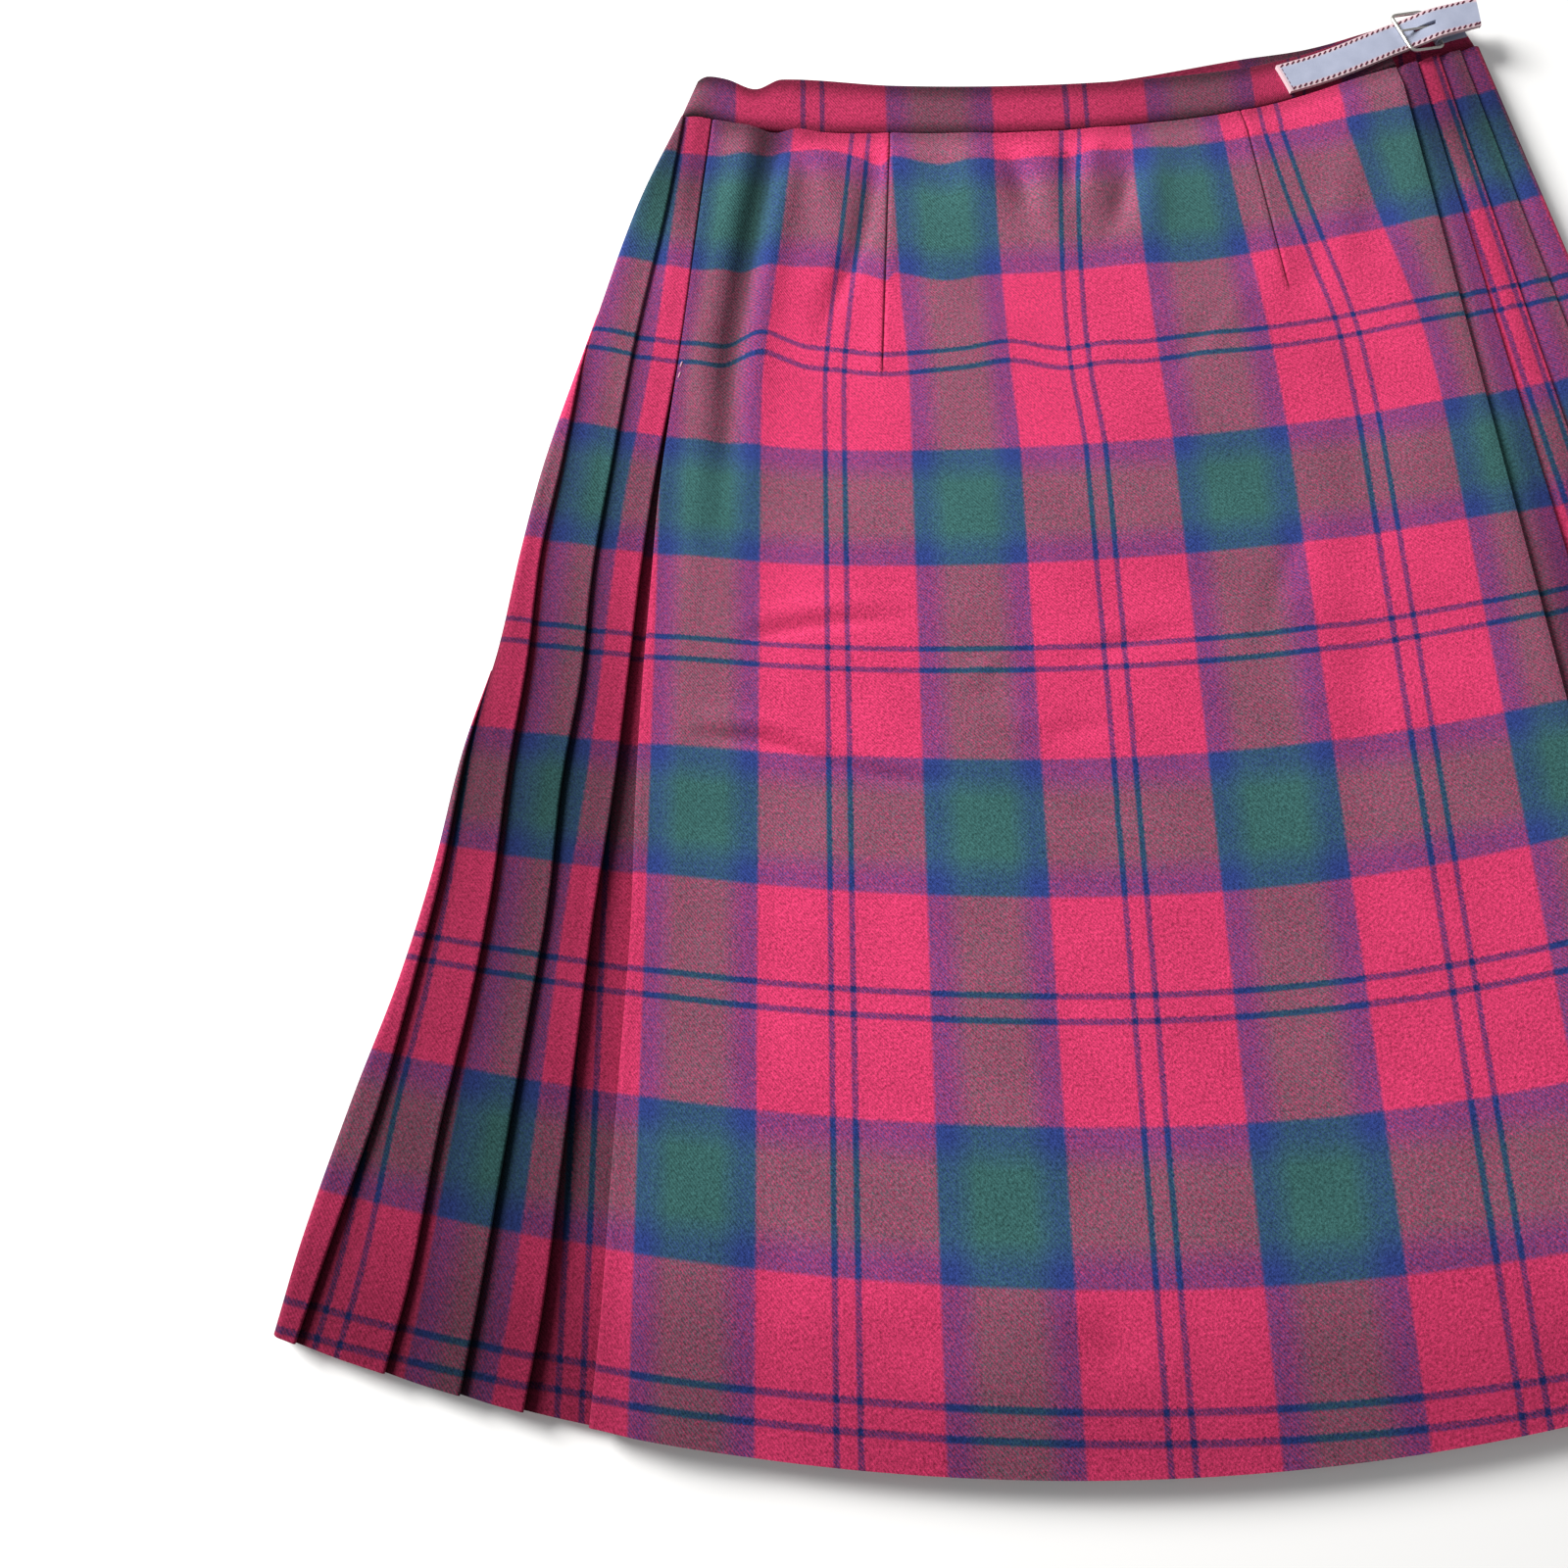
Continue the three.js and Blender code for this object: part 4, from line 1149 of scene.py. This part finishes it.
def leatherFinish(name, bordered):
    # Pale blue-grey with a fine grain: colour and height follow two noises. The strap's are read along and
    # across it in millimetres, and the distances to its edges give it a whitish border.
    finish = Finish(name, {"Roughness": 0.5, "Specular IOR Level": 0.35})
    place, perUnit = (finish.marks(), 1.0) if bordered else (finish.place(), 1000.0)
    grain = finish.noise(place, 2.2 * perUnit, 3.0)
    colour = finish.blend(finish.noise(place, 0.12 * perUnit, 2.0), leather["dark"], leather["pale"])
    if bordered:
        along, aside = finish.split(place)[:2]
        half = strap["wide"] / 2
        edge = aside.maths("ABSOLUTE", aside).between(half - strap["border"] - 0.4, half - 1.2)
        rim = edge.maths("MAXIMUM", edge, 1 - along.between(0.9, 1.7))
        colour = finish.scaled(finish.blend(rim, colour, leather["border"]), grain * 0.35 + 0.83)
    finish.feed(finish.shader, {
        "Base Color": colour, "Roughness": 0.42 + grain * 0.2, "Normal": finish.bump(grain, 0.3, 0.0002),
    })
    return finish.material


def threadFinish(name):
    # Thread whose colour follows a fine noise
    finish = Finish(name, {"Roughness": 0.7, "Specular IOR Level": 0.2})
    fuzz = finish.noise(finish.marks(), 3.0, 2.0)
    finish.feed(finish.shader, {
        "Base Color": finish.blend(fuzz, *threads[name]), "Normal": finish.bump(fuzz, 0.3, 0.0001),
    })
    return finish.material


def buckleMetal():
    # Satin nickel: roughness follows a fine noise
    finish = Finish("buckleMetal", {"Base Color": (0.62, 0.60, 0.56, 1), "Metallic": 1.0})
    wear = finish.noise(finish.place(), 700.0, 3.0)
    finish.feed(finish.shader, {"Roughness": 0.2 + wear * 0.2, "Normal": finish.bump(wear, 0.08, 0.0001)})
    return finish.material


def makeStrap():
    # A slightly crowned wall with a slot for the prong
    x, points, along, aside, up = strapLine()
    half, slot = strap["wide"] / 2, strap["holeWide"] / 2
    across = np.concatenate([np.linspace(-half, -slot, 6), np.linspace(slot, half, 6)])
    crown = strap["crown"] * (1 - (across / half) ** 4)
    surface = points[:, None] + aside[:, None] * across[None, :, None] + up[:, None] * crown[None, :, None]
    rows = np.flatnonzero(np.abs(x - strap["holeAt"]) < strap["holeLong"] / 2)
    marks = grid(lengthAlong(points)[:, None], across[None, :], 0.0)
    return wall(surface[:, ::-1], marks[:, ::-1], strap["thick"], (rows[0], rows[-1], 5, 6))


def stitchBar(start, end, up, wide):
    # A short flat-oval bar with narrowed ends
    steps = np.array([0, 0.12, 0.5, 0.88, 1.0])
    girth = np.array([0.35, 0.85, 1.0, 0.85, 0.35])
    along = unit(end - start)
    aside = unit(np.cross(up, along))
    turn = np.radians(np.arange(8) * 45 + 22.5)
    middle = start + (end - start) * steps[:, None]
    ring = aside * np.cos(turn)[:, None] * wide / 2 + up * np.sin(turn)[:, None] * wide * 0.35
    rings = middle[:, None] + ring[None] * girth[:, None, None]
    return bar(rings, rings)


def makeStrapStitches():
    # Slanting overcast stitches along both long edges and straight ones along the end
    x, points, along, aside, up = strapLine()
    length = lengthAlong(points)
    half, high = strap["wide"] / 2, strap["thick"] / 2 + stitches["high"]
    parts = []
    for side in (-1, 1):
        for at in np.arange(2.5, length[-1] - 1.5, stitches["pitch"]):
            i = int(np.clip(np.searchsorted(length, at), 0, len(x) - 1))
            spot = np.array([np.interp(at, length, points[:, k]) for k in range(3)])
            middle = spot + aside[i] * side * (half - stitches["inset"]) + up[i] * high
            reach = along[i] * stitches["long"] * 0.42 + aside[i] * stitches["slant"]
            parts.append(stitchBar(middle - reach, middle + reach, up[i], stitches["wide"]))
    for at in np.arange(2.4 - half, half - 2, stitches["endPitch"]):
        middle = points[0] + along[0] * 1.7 + aside[0] * at + up[0] * high
        reach = aside[0] * 0.95
        parts.append(stitchBar(middle - reach, middle + reach, up[0], stitches["wide"] / 2))
    return join(parts)


def toBuckle(points):
    # From the buckle's own axes, X along the strap, to the plan
    x, share = buckle["x"], buckle["share"]
    middle = np.array([x + leanAt(x) * share, mix(seamY(x), frontTopY(x), share), 0])
    c, s = math.cos(buckle["turn"]), math.sin(buckle["turn"])
    along, aside, z = points[..., 0], points[..., 1], points[..., 2]
    return np.stack([along * c - aside * s, along * s + aside * c, z], axis=-1) + middle


def tube(line, radius, closed):
    # Round bar along a line in the buckle's axes; the rings stay upright
    line = np.array(line, float)
    if closed:
        ahead = unit(np.roll(line, -1, axis=0) - np.roll(line, 1, axis=0))
    else:
        ahead = tangents(line, 0)
    aside = unit(np.stack([-ahead[:, 1], ahead[:, 0], 0 * ahead[:, 0]], axis=-1))
    up = np.cross(ahead, aside)
    turn = np.radians(np.arange(12) * 30 + 15)[None, :, None]
    radius = np.broadcast_to(radius, (len(line),))[:, None, None]
    ring = aside[:, None] * (np.cos(turn) * radius) + up[:, None] * (np.sin(turn) * radius)
    rings = toBuckle(line[:, None] + ring)
    return bar(rings, rings, closed)


def makeBuckleFrame():
    # Rounded rectangle of round bar, its far bar higher than its heel bar
    long, wide = buckle["long"] / 2 - buckle["bar"], buckle["wide"] / 2 - buckle["bar"]
    corner = buckle["round"]
    x, y = [], []
    for quarter, (sideX, sideY) in enumerate(((1, 1), (-1, 1), (-1, -1), (1, -1))):
        turn = np.radians(np.linspace(quarter * 90, quarter * 90 + 90, 9))
        x += list(sideX * (long - corner) + corner * np.cos(turn))
        y += list(sideY * (wide - corner) + corner * np.sin(turn))
    x, y = np.array(x), np.array(y)
    z = mix(buckle["heelZ"], buckle["tipZ"], (long - x) / (2 * long))
    return tube(np.stack([x, y, z], axis=-1), buckle["bar"], True)


def makeProng():
    # A tapering pin from the heel bar to a tip that lies on the far bar
    reach = buckle["long"] / 2 - buckle["bar"]
    share = np.linspace(0, 1, 9)
    x = mix(reach - 0.7, -reach - 1.4, share)
    z = mix(buckle["heelZ"], buckle["tipZ"], share) + buckle["bar"] + 0.45 + buckle["prong"]
    return tube(np.stack([x, 0 * x, z], axis=-1), buckle["prong"] * mix(1.0, 0.7, share ** 3), False)


metalMaterial = buckleMetal()
strapPiece = makePiece("strapLeatherBody", makeStrap(), leatherFinish("strapLeather", True))
stitchPiece = makePiece("strapStitches", makeStrapStitches(), threadFinish("stitchThread"))
framePiece = makePiece("buckleFrameBar", makeBuckleFrame(), metalMaterial)
prongPiece = makePiece("buckleProngPin", makeProng(), metalMaterial)
strapParts = [
    (strapPiece, "strap_leather", "waist_strap"), (framePiece, "buckle_metal", "buckle_frame"),
    (prongPiece, "buckle_metal", "buckle_prong"), (stitchPiece, "strap_leather", None),
]
for piece, slot, node in strapParts:
    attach(piece, "root")
    if node:
        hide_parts(node)

# The buckle's loop stays as the solid and gets the leather
chapeFinish = leatherFinish("chapeLeather", False)
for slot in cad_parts["buckle_chape"].material_slots:
    slot.material = chapeFinish
print("strap and buckle ready")


# Tack stitches on the apron's fold, where the pleats below it come free

tacks = {"middles": [(-49.8, 210.0, 10.05), (-50.6, 204.0, 10.05)], "turn": 74, "long": 3.4, "wide": 0.8}


def makeTacks():
    turn = math.radians(tacks["turn"])
    reach = np.array([math.cos(turn), math.sin(turn), 0]) * tacks["long"] / 2
    up = np.array([0, 0, 1.0])
    return join([stitchBar(middle - reach, middle + reach, up, tacks["wide"]) for middle in tacks["middles"]])


tackPiece = makePiece("foldTacks", makeTacks(), threadFinish("tackThread"))
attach(tackPiece, "root")


# Floor, light and camera

def paleFloor():
    finish = Finish("paleFloor", {"Base Color": (0.9, 0.9, 0.9, 1), "Roughness": 0.7})
    return finish.material


def makeStage():
    size = 3.0
    mesh = bpy.data.meshes.new("floor")
    corners = [(-size, -size, -0.0003), (size, -size, -0.0003), (size, size, -0.0003), (-size, size, -0.0003)]
    mesh.from_pydata(corners, [], [(0, 1, 2, 3)])
    mesh.materials.append(paleFloor())
    floor = bpy.data.objects.new("floor", mesh)
    bpy.context.scene.collection.objects.link(floor)


light = {
    "sky": 0.34,
    "lamp": 126.0,
    "lampAt": (-1.9, 1.05, 1.2),
    "lampSize": 0.9,
    "tint": (1.0, 0.99, 0.97),
}


def aimAt(thing, target):
    direction = np.array(target) - np.array(thing.location)
    tilt = math.atan2(math.hypot(direction[0], direction[1]), -direction[2])
    thing.rotation_euler = (tilt, 0, math.atan2(-direction[0], direction[1]))


def makeLight():
    world = bpy.data.worlds.new("studio")
    world.use_nodes = True
    world.node_tree.nodes["Background"].inputs[0].default_value = (1, 1, 1, 1)
    world.node_tree.nodes["Background"].inputs[1].default_value = light["sky"]
    bpy.context.scene.world = world
    data = bpy.data.lights.new("window", "AREA")
    data.energy, data.size, data.color = light["lamp"], light["lampSize"], light["tint"]
    lamp = bpy.data.objects.new("window", data)
    lamp.location = light["lampAt"]
    bpy.context.scene.collection.objects.link(lamp)
    aimAt(lamp, (0, 0, 0))


# The camera stands over the skirt, a little to the hem's side of it, and looks down and up the skirt
camera = {"x": 0.0, "y": -147.07, "z": 499.5, "tilt": 16.4996, "lens": 27.045}


def makeCamera():
    data = bpy.data.cameras.new("camera")
    data.lens, data.sensor_width = camera["lens"], 36.0
    data.clip_start, data.clip_end = 0.02, 20.0
    thing = bpy.data.objects.new("camera", data)
    place = (np.array([camera["x"], camera["y"], camera["z"]]) + shift) * mm
    thing.location = place.tolist()
    thing.rotation_euler = (math.radians(camera["tilt"]), 0, 0)
    bpy.context.scene.collection.objects.link(thing)
    bpy.context.scene.camera = thing


makeStage()
makeLight()
makeCamera()
bpy.context.scene.view_settings.view_transform = "Standard"
print("stage ready")
